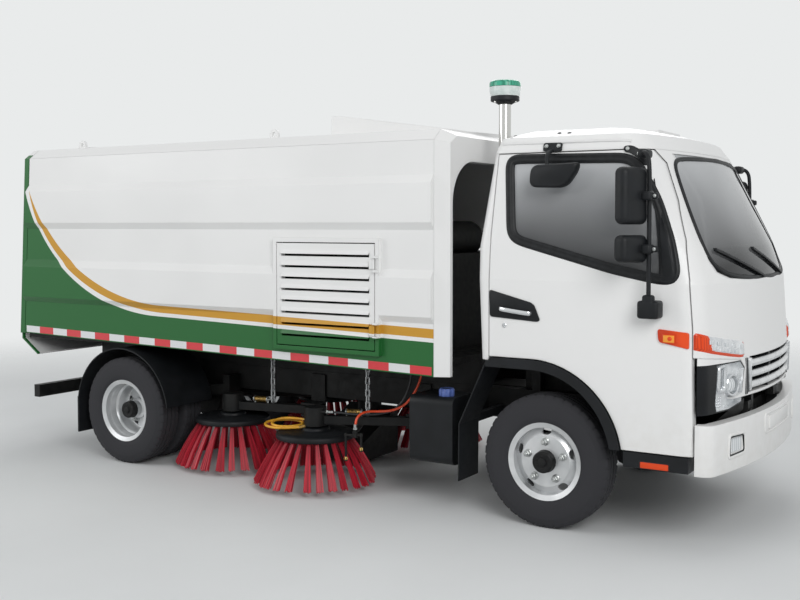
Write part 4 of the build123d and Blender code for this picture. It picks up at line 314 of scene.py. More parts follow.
def wheel_enamel(name):
    # Silver aluminium-flake wheel enamel, greyed by brake dust.
    return patterned(name, "#D2D3D4", 0.34, ((160.0, 2.0), "#C6C8C9", "#DDDEDF"), ((5.0, 1.0), 0.06),
                     ((120.0, 2.0), 0.3, 0.38), Metallic=0.6)


def glass_with_painted_sky(name, alpha, low, high):
    """Grey-tinted glass with a painted sky reflection that pales it from its foot to its top; a cloud pattern
    makes the reflection's edge uneven.
    """
    made, tree, shader = surface(name, "#8A8E92", 0.03, Specular_IOR_Level=0.32, Alpha=alpha)
    # Painted reflection: height, shifted a little by a cloud pattern, sets how much pale sky shows in the
    # glass.
    uneven = sums(tree, "MULTIPLY_ADD", mottle(tree, 700.0, 1.0), 0.4, apart(tree)["Z"])
    shaded(tree, shader, ranged(tree, uneven, 1.7, 2.3), low, high, 0.0, 1.0)
    varied(tree, shader, mottle(tree, 80.0), 0.02, 0.05)
    return made


def safety_glass(name):
    # Laminated glass with a painted pale sky reflection over its upper part.
    return glass_with_painted_sky(name, 0.86, "#1A1B1D", "#C4C6C8")


def printed_glass(name):
    # The same glass where its back is printed dark along the pillars, under the same painted sky reflection.
    return glass_with_painted_sky(name, 1.0, "#17181A", "#B4B6B8")


def lamp_polycarbonate(name):
    # Clear moulded polycarbonate lens with a hard coat.
    return patterned(name, "#E8ECEE", 0.03, ((200.0, 1.0), "#DDE3E6", "#F8FAFA"), Specular_IOR_Level=0.7,
                     Alpha=0.08)


def fluted(name, colour, dark):
    """A moulded acrylic lens with 7 mm prisms behind its face."""
    made, tree, shader = surface(name, colour, 0.24, Coat_Weight=0.1, Coat_Roughness=0.04, IOR=1.49,
                                 Specular_IOR_Level=0.35)
    prisms = ribbed(tree, 7.0, "Y")
    shaded(tree, shader, prisms, dark, colour, 0.1, 0.8)
    relief(tree, shader, prisms, 0.4)
    return made


def amber_acrylic(name):
    # Orange signal acrylic: deep colour with bright prism ribs.
    return fluted(name, "#EC4E16", "#CC390C")


def signal_prism(name):
    # Yellow inner prisms of a signal lens.
    return fluted(name, "#F6A13A", "#E0801F")


def red_acrylic(name):
    # Red tail-lamp acrylic with prism ribs.
    return fluted(name, "#C9222B", "#8E1219")


def clear_acrylic(name):
    # Ribbed clear acrylic over a bright reflector.
    return fluted(name, "#EDEFF0", "#B9BEC1")


def green_acrylic(name):
    # Green moulded dome of the beacon with fine prism ribs.
    return fluted(name, "#46AE8E", "#2F8A6E")


def opal_acrylic(name):
    # Milky acrylic ring under the beacon's dome.
    return patterned(name, "#DDE6E3", 0.3, ((40.0,), "#D2DDD9", "#E8EEEC"), Subsurface_Weight=0.3,
                     Coat_Weight=0.4, Subsurface_Radius=(0.01, 0.01, 0.01))


def chrome_plate(name):
    # Bright chromium plate on moulded plastic.
    return patterned(name, "#D8DADC", 0.09, spread=((25.0,), 0.06, 0.14), Metallic=1.0)


def zinc_plate(name):
    # Zinc-plated steel: pale grey metal with a dull bloom.
    return patterned(name, "#B4B6B5", 0.38, ((12.0,), "#9FA2A2", "#C6C8C6"), spread=((9.0,), 0.3, 0.5),
                     Metallic=0.9)


def polished_stainless(name):
    # Polished stainless tube: a clear bright metal with faint marks of the polishing belt.
    made, tree, shader = surface(name, "#CFCECB", 0.16, Metallic=1.0)
    varied(tree, shader, ribbed(tree, 4.0, "Z", 6.0), 0.12, 0.2)
    return made


def mirror_glass(name):
    # Silvered glass.
    return patterned(name, "#C9CED2", 0.02, spread=((60.0,), 0.01, 0.04), Metallic=1.0)


def red_bristle(name):
    # Extruded polypropylene bristle: bright red, each strand a little different, with painted shade that
    # darkens it towards the root under the brush plate.
    made, tree, shader = surface(name, "#C8283C", 0.42)
    strand = node(tree, "ShaderNodeNewGeometry").outputs["Random Per Island"]
    tone = ranged(tree, strand, 0.0, 1.0, 0.55, 1.25)
    # Painted shade: the strands darken towards their roots, up under the plate.
    painted_root_shade = ranged(tree, apart(tree)["Z"], 0.34, 0.22, 0.55, 1.0)
    colour = node(tree, "ShaderNodeHueSaturation", {"Color": (*bpy.context.scene.sweeper.bristle_red, 1.0),
                                                    "Value": sums(tree, "MULTIPLY", tone, painted_root_shade)})
    tree.links.new(colour.outputs["Color"], shader.inputs["Base Color"])
    relief(tree, shader, mottle(tree, 3.0, 2.0), 0.2)
    return made


def seat_weave(name):
    # Flat-woven polyester over foam; threads drawn 3 mm wide so that they show.
    made, tree, shader = surface(name, "#42454D", 0.85, Sheen_Weight=0.25)
    weave = sums(tree, "MULTIPLY", ribbed(tree, 3.0, "Y"), ribbed(tree, 3.0, "Z"))
    shaded(tree, shader, weave, "#33363D", "#565A63", 0.1, 0.7)
    relief(tree, shader, weave, 0.4)
    return made


def reflective_tape(name, colour, dark):
    """Retroreflective tape: a honeycomb of sealed cells under a clear gloss film."""
    made, tree, shader = surface(name, colour, 0.28, Coat_Weight=0.6, Coat_Roughness=0.05)
    cells = node(tree, "ShaderNodeTexVoronoi",
                 {"Vector": place(tree), "Scale": 1.0 / (6.0 * MM), "Randomness": 0.1},
                 feature="DISTANCE_TO_EDGE").outputs["Distance"]
    shaded(tree, shader, cells, dark, colour, 0.02, 0.12)
    return made


def tape_red(name):
    # Red reflective film.
    return reflective_tape(name, "#DB2B35", "#BE1F2A")


def tape_white(name):
    # Silver-white reflective film.
    return reflective_tape(name, "#E6E7E8", "#CDD0D2")


def window_rubber(name):
    # Extruded EPDM glazing rubber: matt black with a faint bloom.
    return patterned(name, "#141517", 0.5, ((30.0,), "#111214", "#1C1E20"), ((3.0,), 0.06),
                     Specular_IOR_Level=0.3)


def grille_moulding(name):
    # Satin-silver painted plastic slats.
    return patterned(name, "#DEDFE0", 0.3, ((80.0,), "#D4D6D7", "#E6E7E7"), spread=((50.0,), 0.25, 0.36),
                     Metallic=0.15, Coat_Weight=0.3)


def blue_polyethylene(name):
    # Blow-moulded blue cap of the additive tank.
    return patterned(name, "#4D63A6", 0.45, ((20.0,), "#43599C", "#5D72B2"), ((2.0,), 0.1))


def lacquered_brass(name):
    # Turned brass under dull lacquer: warm metal, tarnished in the hollows.
    return patterned(name, "#C7A35C", 0.34, ((8.0,), "#A98546", "#D6B872"), spread=((5.0,), 0.28, 0.45),
                     Metallic=0.95)


def black_acrylic(name):
    # Gloss-black moulded lamp panel.
    return patterned(name, "#0D0F12", 0.16, ((150.0, 1.0), "#0B0D0F", "#121418"), Specular_IOR_Level=0.25)


def lamp_reflector(name):
    # Vacuum-metallised lamp bowl: bright grey metal, a little hazed.
    return patterned(name, "#DFE1E3", 0.26, ((60.0,), "#CED1D4", "#E8EAEB"), spread=((40.0,), 0.16, 0.3),
                     Metallic=0.4)


def hose_skin(name, colour, dark, worn):
    """An extruded hose: a smooth wall with rubbed patches and a fine grain."""
    return patterned(name, colour, 0.4, ((35.0,), dark, colour, 0.3, 0.55), ((2.5, 2.0), 0.12),
                     ((18.0,), 0.34, worn), Coat_Weight=0.15)


def orange_pvc(name):
    # Orange extruded PVC spray hose with a soft gloss.
    return hose_skin(name, "#EE5530", "#D24420", 0.5)


def yellow_pvc(name):
    # Yellow extruded PVC water hose, scuffed dull in places.
    return hose_skin(name, "#EDB032", "#D6952A", 0.55)


def hydraulic_rubber(name):
    # Wrapped black rubber of a hydraulic hose: matt, with a fine grain.
    return hose_skin(name, "#26272A", "#1A1B1D", 0.75)


FINISHES = {maker.__name__: maker for maker in (
    coach_enamel, livery_enamel, chassis_paint, arm_paint, cast_iron, tyre_rubber, moulded_polypropylene,
    wheel_enamel, safety_glass, printed_glass, lamp_polycarbonate, amber_acrylic, signal_prism,
    red_acrylic, clear_acrylic, green_acrylic, opal_acrylic, chrome_plate, zinc_plate, polished_stainless,
    mirror_glass, red_bristle, seat_weave, tape_red, tape_white, window_rubber, grille_moulding,
    blue_polyethylene, lacquered_brass, black_acrylic, lamp_reflector, orange_pvc, yellow_pvc,
    hydraulic_rubber)}


def finish(name):
    """The material of that name, made when it is first asked for."""
    return bpy.data.materials.get(name) or FINISHES[name](name)


# Mesh helpers

def piece(name, bm, body, slot, *finishes, smooth=38.0):
    """Turns a bmesh into a piece that rides a body, smooth but for edges sharper than the given degrees."""
    mesh = bpy.data.meshes.new(name)
    bmesh.ops.recalc_face_normals(bm, faces=bm.faces[:])
    bm.to_mesh(mesh)
    bm.free()
    for each in finishes:
        mesh.materials.append(finish(each))
    mesh.shade_smooth()
    mesh.set_sharp_from_angle(angle=math.radians(smooth))
    made = bpy.data.objects.new(name, mesh)
    bpy.context.scene.collection.objects.link(made)
    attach(made, body)
    return made


def across(axis):
    """Two directions square to an axis and to each other."""
    axis = Vector(axis).normalized()
    first = axis.orthogonal().normalized()
    if abs(axis.z) < 0.9:
        first = axis.cross(Vector((0, 0, 1))).normalized()
    return first, axis.cross(first)


def spun(bm, profile, centre, axis, segments=48, closed=False, paint=0, bend=None):
    """Turns (along, radius) points about an axis through centre; bend may shift a point at an angle step."""
    axis = Vector(axis).normalized()
    first, second = across(axis)
    rings = []
    for along, radius in profile:
        if radius < 1e-6:
            rings.append([bm.verts.new(Vector(centre) + axis * along)])
            continue
        ring = []
        for step in range(segments):
            angle = 2.0 * math.pi * step / segments
            a, r = (along, radius) if bend is None else bend(step, along, radius)
            spoke = first * math.cos(angle) + second * math.sin(angle)
            ring.append(bm.verts.new(Vector(centre) + axis * a + spoke * r))
        rings.append(ring)
    pairs = list(zip(rings, rings[1:]))
    if closed:
        pairs.append((rings[-1], rings[0]))
    for low, high in pairs:
        for step in range(segments):
            near, far = step, (step + 1) % segments
            if len(low) == 1 and len(high) == 1:
                continue
            if len(low) == 1:
                corners = (low[0], high[far], high[near])
            elif len(high) == 1:
                corners = (low[near], low[far], high[0])
            else:
                corners = (low[near], low[far], high[far], high[near])
            bm.faces.new(corners).material_index = paint


def lofted(bm, rings, closed=False, round_rings=True, paint=0):
    """Joins rows of vertices; closed joins the last row to the first, round_rings the ends of each row."""
    size = len(rings[0])
    pairs = list(zip(rings, rings[1:])) + ([(rings[-1], rings[0])] if closed else [])
    for low, high in pairs:
        for k in range(size if round_rings else size - 1):
            after = (k + 1) % size
            bm.faces.new((low[k], low[after], high[after], high[k])).material_index = paint


def swept(bm, points, section, closed=False, up=None, paint=0):
    """Carries a closed section of (side, out) offsets along points; up gives the outward directions."""
    points = [Vector(p) for p in points]
    count = len(points)
    rings = []
    last = None
    for i, point in enumerate(points):
        before = points[i - 1] if closed or i else points[i]
        after = points[(i + 1) % count] if closed or i < count - 1 else points[i]
        along = (after - before).normalized()
        if up is not None:
            out = (up[i] - along * up[i].dot(along)).normalized()
        elif last is None:
            out = across(along)[1]
        else:
            out = (last - along * last.dot(along)).normalized()
        last = out
        side = along.cross(out)
        rings.append([bm.verts.new(point + side * a + out * b) for a, b in section])
    lofted(bm, rings, closed, paint=paint)
    if not closed:
        bm.faces.new(rings[0][::-1]).material_index = paint
        bm.faces.new(rings[-1]).material_index = paint


def ring_section(radius, sides=12):
    """A round section for swept."""
    return [(radius * math.cos(2 * math.pi * k / sides),
             radius * math.sin(2 * math.pi * k / sides)) for k in range(sides)]


def eased(points, passes=3):
    """Cuts the corners of an open line again and again, so that it runs in soft bends."""
    points = [Vector(p) for p in points]
    for _ in range(passes):
        cut = [points[0]]
        for a, b in zip(points, points[1:]):
            cut += [a.lerp(b, 0.25), a.lerp(b, 0.75)]
        points = cut + [points[-1]]
    return points


def block(bm, low, high, radius, segments=3, turn=None, paint=0):
    """A box between two corners with rounded edges."""
    low, high = Vector(low), Vector(high)
    made = bmesh.ops.create_cube(bm, size=1.0)["verts"]
    size = Vector((abs(high.x - low.x), abs(high.y - low.y), abs(high.z - low.z)))
    bmesh.ops.scale(bm, vec=size, verts=made)
    edges = list(dict.fromkeys(e for v in made for e in v.link_edges))
    shape = bmesh.ops.bevel(bm, geom=edges, offset=min(radius, 0.49 * min(size)), segments=segments,
                            profile=0.5, affect="EDGES")
    verts = list({v for f in shape["faces"] for v in f.verts} | {v for v in made if v.is_valid})
    faces = {f for v in verts for f in v.link_faces}
    for face in faces:
        face.material_index = paint
    move = Matrix.Translation((low + high) / 2.0) @ (turn.to_4x4() if turn else Matrix.Identity(4))
    bmesh.ops.transform(bm, matrix=move, verts=verts)
    return verts


def plate(bm, outline, thickness, out, paint=0, edge=0.0):
    """A flat or curved plate: its back outline raised by thickness along out, its front edge rounded."""
    out = Vector(out)
    back = [bm.verts.new(Vector(p)) for p in outline]
    front = [bm.verts.new(Vector(p) + out * thickness) for p in outline]
    faces = [bm.faces.new(back), bm.faces.new(front[::-1])]
    for k in range(len(outline)):
        after = (k + 1) % len(outline)
        faces.append(bm.faces.new((back[k], front[k], front[after], back[after])))
    for face in faces:
        face.material_index = paint
    if edge:
        bmesh.ops.bevel(bm, geom=faces[1].edges[:], offset=edge, segments=2, profile=0.5, affect="EDGES")


def rounded(outline, radius, steps=6):
    """Rounds the corners of a closed flat outline of (a, b) points."""
    made = []
    count = len(outline)
    for i in range(count):
        before, corner, after = (Vector(outline[j % count]) for j in (i - 1, i, i + 1))
        ahead, back = (after - corner), (before - corner)
        reach = min(radius, 0.45 * ahead.length, 0.45 * back.length)
        start, end = corner + back.normalized() * reach, corner + ahead.normalized() * reach
        for k in range(steps + 1):
            t = k / steps
            made.append(start.lerp(corner, t).lerp(corner.lerp(end, t), t))
    return made


def skin(*names):
    """A search tree over the faces of CAD nodes, to seat a piece on them."""
    bm = bmesh.new()
    for name in names:
        bm.from_mesh(NODES[name].data)
    tree = BVHTree.FromBMesh(bm)
    bm.free()
    return tree


def seat(tree, point, towards):
    """The spot and normal where a line from point first meets the skin, or the lip of a seam in it."""
    first, second = across(towards)
    for nudge in (Vector(), second * 0.008, second * -0.008, first * 0.008, first * -0.008):
        spot, normal, _, _ = tree.ray_cast(Vector(point) + nudge, Vector(towards).normalized(), 1.1)
        if spot is not None:
            return spot - nudge, normal
    raise RuntimeError(f"nothing to sit on at {tuple(point)}")


def ahead(tree, y, z):
    """The spot and outward normal on the truck's front, at a place across it and a height."""
    return seat(tree, (CLEAR_AHEAD, y, z), (-1, 0, 0))


def beside(tree, x, z, sign):
    """The spot and outward normal on one side of the truck, at a place along it and a height."""
    return seat(tree, (x, sign * CLEAR_ASIDE, z), (0, -sign, 0))


def middle_of(bm):
    """The mean of a shape's corners."""
    return sum((v.co for v in bm.verts), Vector()) / len(bm.verts)


def box_of(bm):
    """The low and the high corner of the box round a shape."""
    return (Vector([pick(v.co[k] for v in bm.verts) for k in range(3)]) for pick in (min, max))


def islands(name):
    """The separate solids of a CAD node, each as its own bmesh with its seams joined."""
    whole = bmesh.new()
    whole.from_mesh(NODES[name].data)
    bmesh.ops.remove_doubles(whole, verts=whole.verts[:], dist=1e-5)
    left = dict.fromkeys(whole.verts)
    made = []
    while left:
        first = next(iter(left))
        del left[first]
        group, queue = {}, [first]
        while queue:
            vert = queue.pop()
            group[vert] = True
            for edge in vert.link_edges:
                other = edge.other_vert(vert)
                if other in left:
                    del left[other]
                    queue.append(other)
        part = bmesh.new()
        copy = {v: part.verts.new(v.co) for v in group}
        for face in [f for f in whole.faces if f.verts[0] in group]:
            part.faces.new([copy[v] for v in face.verts])
        part.normal_update()
        made.append(part)
    whole.free()
    return made


def rim_loops(bm, outward):
    """Closed lines round the outer skin of a shell; outward(face) says which faces are outside."""
    outer = {f for f in bm.faces if outward(f)}
    edges = [e for e in bm.edges if sum(f in outer for f in e.link_faces) == 1]
    following = {}
    for edge in edges:
        for vert in edge.verts:
            following.setdefault(vert, []).append(edge)
    loops = []
    left = dict.fromkeys(edges)
    while left:
        edge = next(iter(left))
        del left[edge]
        start, vert = edge.verts
        line = [start, vert]
        while True:
            ahead = [e for e in following[vert] if e in left]
            if not ahead:
                break
            edge = ahead[0]
            del left[edge]
            vert = edge.other_vert(vert)
            if vert is start:
                break
            line.append(vert)
        loops.append([(v.co.copy(), sum((f.normal for f in v.link_faces if f in outer),
                                        Vector()).normalized()) for v in line])
    return loops


def evenly(loop, spacing):
    """Sets points at an even spacing along a closed line of (point, normal) pairs."""
    made = []
    count = len(loop)
    for i in range(count):
        (a, na), (b, nb) = loop[i], loop[(i + 1) % count]
        pieces = max(1, round((b - a).length / spacing))
        for k in range(pieces):
            made.append((a.lerp(b, k / pieces), na.lerp(nb, k / pieces).normalized()))
    return made


def side_plate(bm, tree, outline, sign, thickness, paint=0, edge=0.0):
    """A plate on the truck's side: each (x, z) point of its outline is seated on the skin."""
    spots = [beside(tree, x, z, sign)[0] for x, z in outline]
    plate(bm, spots, thickness, (0, sign, 0), paint, edge)


def hex_bolt(bm, at, axis, flats, height, paint=0):
    """A hexagon head on a washer; flats is the width across flats in metres."""
    radius = flats / math.sqrt(3.0)
    spun(bm, [(-0.001, 0.0), (-0.001, radius * 1.3), (0.0018, radius * 1.3), (0.0018, 0.0)], at, axis, 20,
         paint=paint)
    spun(bm, [(0.0018, 0.0), (0.0018, radius), (height * 0.88, radius), (height, radius * 0.84),
              (height, 0.0)], at, axis, 6, paint=paint)


def domed(bm, at, axis, radius, height, segments=20, paint=0):
    """A low round dome on a surface."""
    turns = [math.radians(a) for a in (0, 25, 50, 72)]
    dome = [(height * math.sin(a), radius * math.cos(a)) for a in turns]
    spun(bm, [(-0.001, 0.0), (-0.001, radius), *dome, (height, 0.0)], at, axis, segments, paint=paint)


# Properties

class SweeperSettings(bpy.types.PropertyGroup):
    """Sizes and colours of the sweeper's dress."""
    livery_green: bpy.props.FloatVectorProperty(name="Livery green",
                                                description="Colour of the body's lower field",
                                                subtype="COLOR", size=3, default=linear("#22642F")[:3])
    livery_gold: bpy.props.FloatVectorProperty(name="Livery gold",
                                               description="Colour of the body's swept band",
                                               subtype="COLOR", size=3, default=linear("#CC9733")[:3])
    bristle_red: bpy.props.FloatVectorProperty(name="Bristle red", description="Colour of the brush strands",
                                               subtype="COLOR", size=3, default=linear("#BE2236")[:3])
    tape_height: bpy.props.FloatProperty(name="Tape height", description="Height of the reflective tape",
                                         unit="LENGTH", default=0.05)
    tape_block: bpy.props.FloatProperty(name="Tape block",
                                        description="Length of one red or white block of tape",
                                        unit="LENGTH", default=0.15)
    window_rubber: bpy.props.FloatProperty(name="Window rubber",
                                           description="Width of the rubber round a window", unit="LENGTH",
                                           default=0.056)
    tufts: bpy.props.IntProperty(name="Tufts", description="Bristle tufts round one brush", default=28)
    strands: bpy.props.IntProperty(name="Strands", description="Strands in one bristle tuft", default=26)
    nut_circle: bpy.props.FloatProperty(name="Nut circle", description="Radius of the circle of wheel nuts",
                                        unit="LENGTH", default=0.114)


# Operators

class SWEEPER_OT_stage(bpy.types.Operator):
    """Sets the floor, the soft studio light and the camera"""
    bl_idname = "sweeper.stage"
    bl_label = "Stage"

    def execute(self, context):
        scene = context.scene
        keep = set(NODES.values()) | set(frame["bodies"].values())
        for spare in [o for o in scene.objects if o not in keep]:
            bpy.data.objects.remove(spare)
        scene.view_settings.view_transform = "Standard"
        floor = bmesh.new()
        bmesh.ops.create_circle(floor, cap_ends=True, radius=30.0, segments=96)
        mesh = bpy.data.meshes.new("studio_floor")
        floor.to_mesh(mesh)
        floor.free()
        ground = bpy.data.objects.new("studio_floor", mesh)
        scene.collection.objects.link(ground)
        mesh.materials.append(self.studio_paper())
        self.room(scene)
        for name, at, aim, size, watts in (("key_light", (7.4, -6.8, 5.4), (0.6, 0.0, 1.1), 5.0, 390.0),
                                           ("fill_light", (-6.0, -6.5, 4.5), (-0.5, 0.0, 1.0), 5.0, 190.0),
                                           ("back_light", (-1.0, 7.0, 6.0), (0.0, 0.0, 1.2), 6.0, 170.0),
                                           ("top_light", (0.0, 0.0, 8.0), (0.0, 0.0, 0.0), 7.0, 60.0)):
            lamp = bpy.data.lights.new(name, "AREA")
            lamp.shape = "DISK"
            lamp.size = size
            lamp.energy = watts
            made = bpy.data.objects.new(name, lamp)
            made.location = at
            made.rotation_euler = (Vector(aim) - Vector(at)).to_track_quat("-Z", "Y").to_euler()
            scene.collection.objects.link(made)
        lens = bpy.data.cameras.new("photo_camera")
        lens.lens = 47.3
        lens.sensor_width = 36.0
        lens.shift_x = -0.016
        lens.shift_y = -0.0319
        lens.clip_end = 200.0
        camera = bpy.data.objects.new("photo_camera", lens)
        yaw, pitch = math.radians(31.26), math.radians(-2.72)
        camera.location = (4.117, -6.408, 1.745)
        facing = Vector((-math.sin(yaw) * math.cos(pitch), math.cos(yaw) * math.cos(pitch), math.sin(pitch)))
        camera.rotation_euler = facing.to_track_quat("-Z", "Y").to_euler()
        scene.collection.objects.link(camera)
        scene.camera = camera
        return {"FINISHED"}

    def studio_paper(self):
        # Pale matt paper that keeps the truck's shadow and fades out before it makes a horizon.
        made, tree, shader = surface("studio_paper", "#E4E6E6", 0.9)
        shaded(tree, shader, mottle(tree, 2000.0), "#E2E4E4", "#E7E9E9")
        away = node(tree, "ShaderNodeVectorMath", {0: place(tree)}, operation="LENGTH").outputs["Value"]
        fade = node(tree, "ShaderNodeMapRange", {"Value": away, "From Min": 4.0, "From Max": 11.0},
                    interpolation_type="SMOOTHSTEP")
        clear = node(tree, "ShaderNodeBsdfTransparent")
        mixed = node(tree, "ShaderNodeMixShader",
                     {0: fade.outputs["Result"], 1: shader.outputs[0], 2: clear.outputs[0]})
        tree.links.new(mixed.outputs[0], tree.nodes["Material Output"].inputs["Surface"])
        return made

    def room(self, scene):
        world = scene.world or bpy.data.worlds.new("studio_room")
        scene.world = world
        world.use_nodes = True
        tree = world.node_tree
        tree.nodes.clear()
        path = node(tree, "ShaderNodeLightPath").outputs
        seen = sums(tree, "MAXIMUM", path["Is Camera Ray"], path["Is Glossy Ray"])
        shown = sums(tree, "MAXIMUM", seen, path["Is Transmission Ray"])
        soft = node(tree, "ShaderNodeBackground", {"Color": linear("#F4F6F8"), "Strength": 0.42})
        pale = node(tree, "ShaderNodeBackground", {"Color": linear("#E9EBEB"), "Strength": 1.0})
        mixed = node(tree, "ShaderNodeMixShader", {0: shown, 1: soft.outputs[0], 2: pale.outputs[0]})
        node(tree, "ShaderNodeOutputWorld", {"Surface": mixed.outputs[0]})


class SWEEPER_OT_paintwork(bpy.types.Operator):
    """Gives every shown CAD node its finish"""
    bl_idname = "sweeper.paintwork"
    bl_label = "Paintwork"

    finishes = {
        "livery_enamel": ("body_sides", "louvre_door_right", "louvre_door_left", "tailgate"),
        "coach_enamel": ("body_roof", "body_front", "cab_roof", "cab_front", "cab_rear", "door_right",
                         "door_left", "front_bumper", "lifting_eyes"),
        "chassis_paint": ("frame_rails", "frame_members", "leaf_springs", "rear_guard", "body_floor",
                          "cab_floor", "suction_nozzle"),
        "arm_paint": ("brush_arm_front_right", "brush_arm_front_left", "brush_arm_rear_right",
                      "brush_arm_rear_left"),
        "cast_iron": ("front_axle", "rear_axle", "engine", "auxiliary_engine", "knuckle_right",
                      "knuckle_left"),
        "moulded_polypropylene": ("mudguards", "side_tanks", "wipers", "dashboard", "cab_trim", "grille"),
        "wheel_enamel": ("rim_front_right", "rim_front_left", "rims_rear_right", "rims_rear_left"),
        "safety_glass": ("cab_glass", "door_glass_right", "door_glass_left"),
        "clear_acrylic": ("chassis_lamps", "cab_lamps"),
        "zinc_plate": ("beacon",),
        "hydraulic_rubber": ("hydraulic_hose",),
        "orange_pvc": ("spray_hose",),
        "yellow_pvc": ("water_hose_coil",),
        "tyre_rubber": ("tyre_front_right", "tyre_front_left", "tyres_rear_right", "tyres_rear_left"),
        "red_bristle": ("brush_front_right", "brush_front_left", "brush_rear_right", "brush_rear_left"),
        "seat_weave": ("seats",),
        "window_rubber": ("mirrors_right", "mirrors_left"),
    }

    def execute(self, context):
        for name, members in self.finishes.items():
            for member in members:
                mesh = NODES[member].data
                mesh.materials.clear()
                mesh.materials.append(finish(name))
        for member, width in (("side_tanks", 0.034), ("front_bumper", 0.020)):
            weld = NODES[member].modifiers.new("joined_seams", "WELD")
            weld.merge_threshold = 1e-4
            soft = NODES[member].modifiers.new("moulded_edges", "BEVEL")
            soft.width = width
            soft.segments = 4
            soft.limit_method = "ANGLE"
            soft.angle_limit = math.radians(50.0)
        return {"FINISHED"}


class SWEEPER_OT_tyres(bpy.types.Operator):
    """Moulds the six road tyres with ribbed walls and zigzag tread"""
    bl_idname = "sweeper.tyres"
    bl_label = "Tyres"

    wall = ((70, 203), (80, 212), (86, 226), (90, 238), (93, 243), (95, 249), (98, 262), (99.5, 285),
            (100, 305), (99, 318), (97.5, 328), (97.5, 333), (95, 338), (92, 352), (88, 362), (84, 370),
            (80, 376), (76.5, 380.5), (73, 383.5))
    crown = ((58, 385.5), (42, 386.4), (42, 377.5), (34, 377.5), (34, 386.8), (5, 387.5), (5, 378),
             (-5, 378), (-5, 387.5), (-34, 386.8), (-34, 377.5), (-42, 377.5), (-42, 386.4), (-58, 385.5))
    segments = 240
    pitch = 6

    def mould(self, bm, x, y):
        """One tyre about its axle, grooved round the crown and notched at the shoulders."""
        profile = list(self.wall) + list(self.crown) + [(-w, r) for w, r in reversed(self.wall)]
        zigzag = (0.0, 1.5, 3.0, 1.5, 0.0, -1.5)

        def tread(step, along, radius):
            turn = step % self.pitch
            if radius > 0.376 and abs(along) < 0.045:
                along += zigzag[turn] * MM
            if radius > 0.3695 and abs(along) > 0.055 and turn == 0:
                radius -= 0.006
            return along, radius

        spun(bm, [(w * MM, r * MM) for w, r in profile], (x, y, AXLE_Z), (0, 1, 0), self.segments,
             closed=True, bend=tread)

    def execute(self, context):
        for side, sign in SIDES:
            bm = bmesh.new()
            self.mould(bm, FRONT_AXLE_X, sign * FRONT_RIM_Y)
            made = piece(f"road_tyre_front_{side}", bm, f"wheel_front_{side}", "tyre_rubber", "tyre_rubber",
                         smooth=28.0)
            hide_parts(f"tyre_front_{side}")
            bm = bmesh.new()
            for y in (0.899, 0.659):
                self.mould(bm, REAR_AXLE_X, sign * y)
            made = piece(f"road_tyres_rear_{side}", bm, f"wheel_rear_{side}", "tyre_rubber", "tyre_rubber",
                         smooth=28.0)
            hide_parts(f"tyres_rear_{side}")
        return {"FINISHED"}


class SWEEPER_OT_brushes(bpy.types.Operator):
    """Builds the ring brushes: a dished plate and fans of red strands"""
    bl_idname = "sweeper.brushes"
    bl_label = "Brushes"

    plate_profile = ((390, 28), (390, 88), (386, 93), (374, 96), (370, 104), (368, 130), (369, 190),
                     (366, 240), (362, 254), (354, 263), (344, 266), (330, 266), (323, 262), (322, 254),
                     (322, 28))

    def strand(self, bm, root, tip, wide, thick, aside, bow):
        """One bowed strand that widens from its root to its tip."""
        middle = root.lerp(tip, 0.5) + bow
        line = [root.lerp(middle, t).lerp(middle.lerp(tip, t), t) for t in (0.0, 0.33, 0.67, 1.0)]
        along = (tip - root).normalized()
        out = along.cross(aside).normalized()
        rings = []
        for i, point in enumerate(line):
            grow = 0.6 + 0.4 * i / 3
            rings.append([bm.verts.new(point + aside * (a * wide * grow) + out * (b * thick * grow))
                          for a, b in ((-0.5, -0.5), (0.5, -0.5), (0.5, 0.5), (-0.5, 0.5))])
        lofted(bm, rings, paint=1)
        bm.faces.new(rings[-1]).material_index = 1

    def execute(self, context):
        settings = context.scene.sweeper
        chance = random.Random(11)
        for end, x, y in (("front", -0.076, 0.760), ("rear", -0.936, 0.600)):
            for side, sign in SIDES:
                bm = bmesh.new()
                centre = Vector((x, sign * y, 0.0))
                spun(bm, [(z * MM, r * MM) for z, r in self.plate_profile], centre, (0, 0, 1), 72,
                     closed=True)
                for tuft in range(settings.tufts):
                    angle = 2.0 * math.pi * tuft / settings.tufts
                    out = Vector((math.cos(angle), math.sin(angle), 0.0))
                    aside = Vector((-math.sin(angle), math.cos(angle), 0.0))
                    lean = chance.uniform(-0.020, 0.020)
                    spread = chance.uniform(0.018, 0.033)
                    tilt = chance.uniform(-0.016, 0.0)
                    for strand in range(settings.strands):
                        fan = (strand + 0.5) / settings.strands * 2.0 - 1.0
                        row = (strand % 3 - 1) + chance.uniform(-0.3, 0.3)
                        root = centre + out * (0.228 + 0.007 * row) + aside * (0.010 * fan)
                        root.z = 0.335
                        reach = 0.408 + tilt + 0.009 * row + chance.uniform(-0.004, 0.002)
                        lift = 0.037 + chance.uniform(0.0, 0.014)
                        tip = centre + out * reach + aside * (spread * fan + lean) + Vector((0, 0, lift))
                        self.strand(bm, root, tip, 0.0052, 0.0046, aside,
                                    out * 0.018 + Vector((0, 0, 0.006)))
                made = piece(f"ring_brush_{end}_{side}", bm, f"sweep_{end}_{side}", "brush_bristle",
                             "moulded_polypropylene", "red_bristle", smooth=30.0)
                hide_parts(f"brush_{end}_{side}")
        return {"FINISHED"}


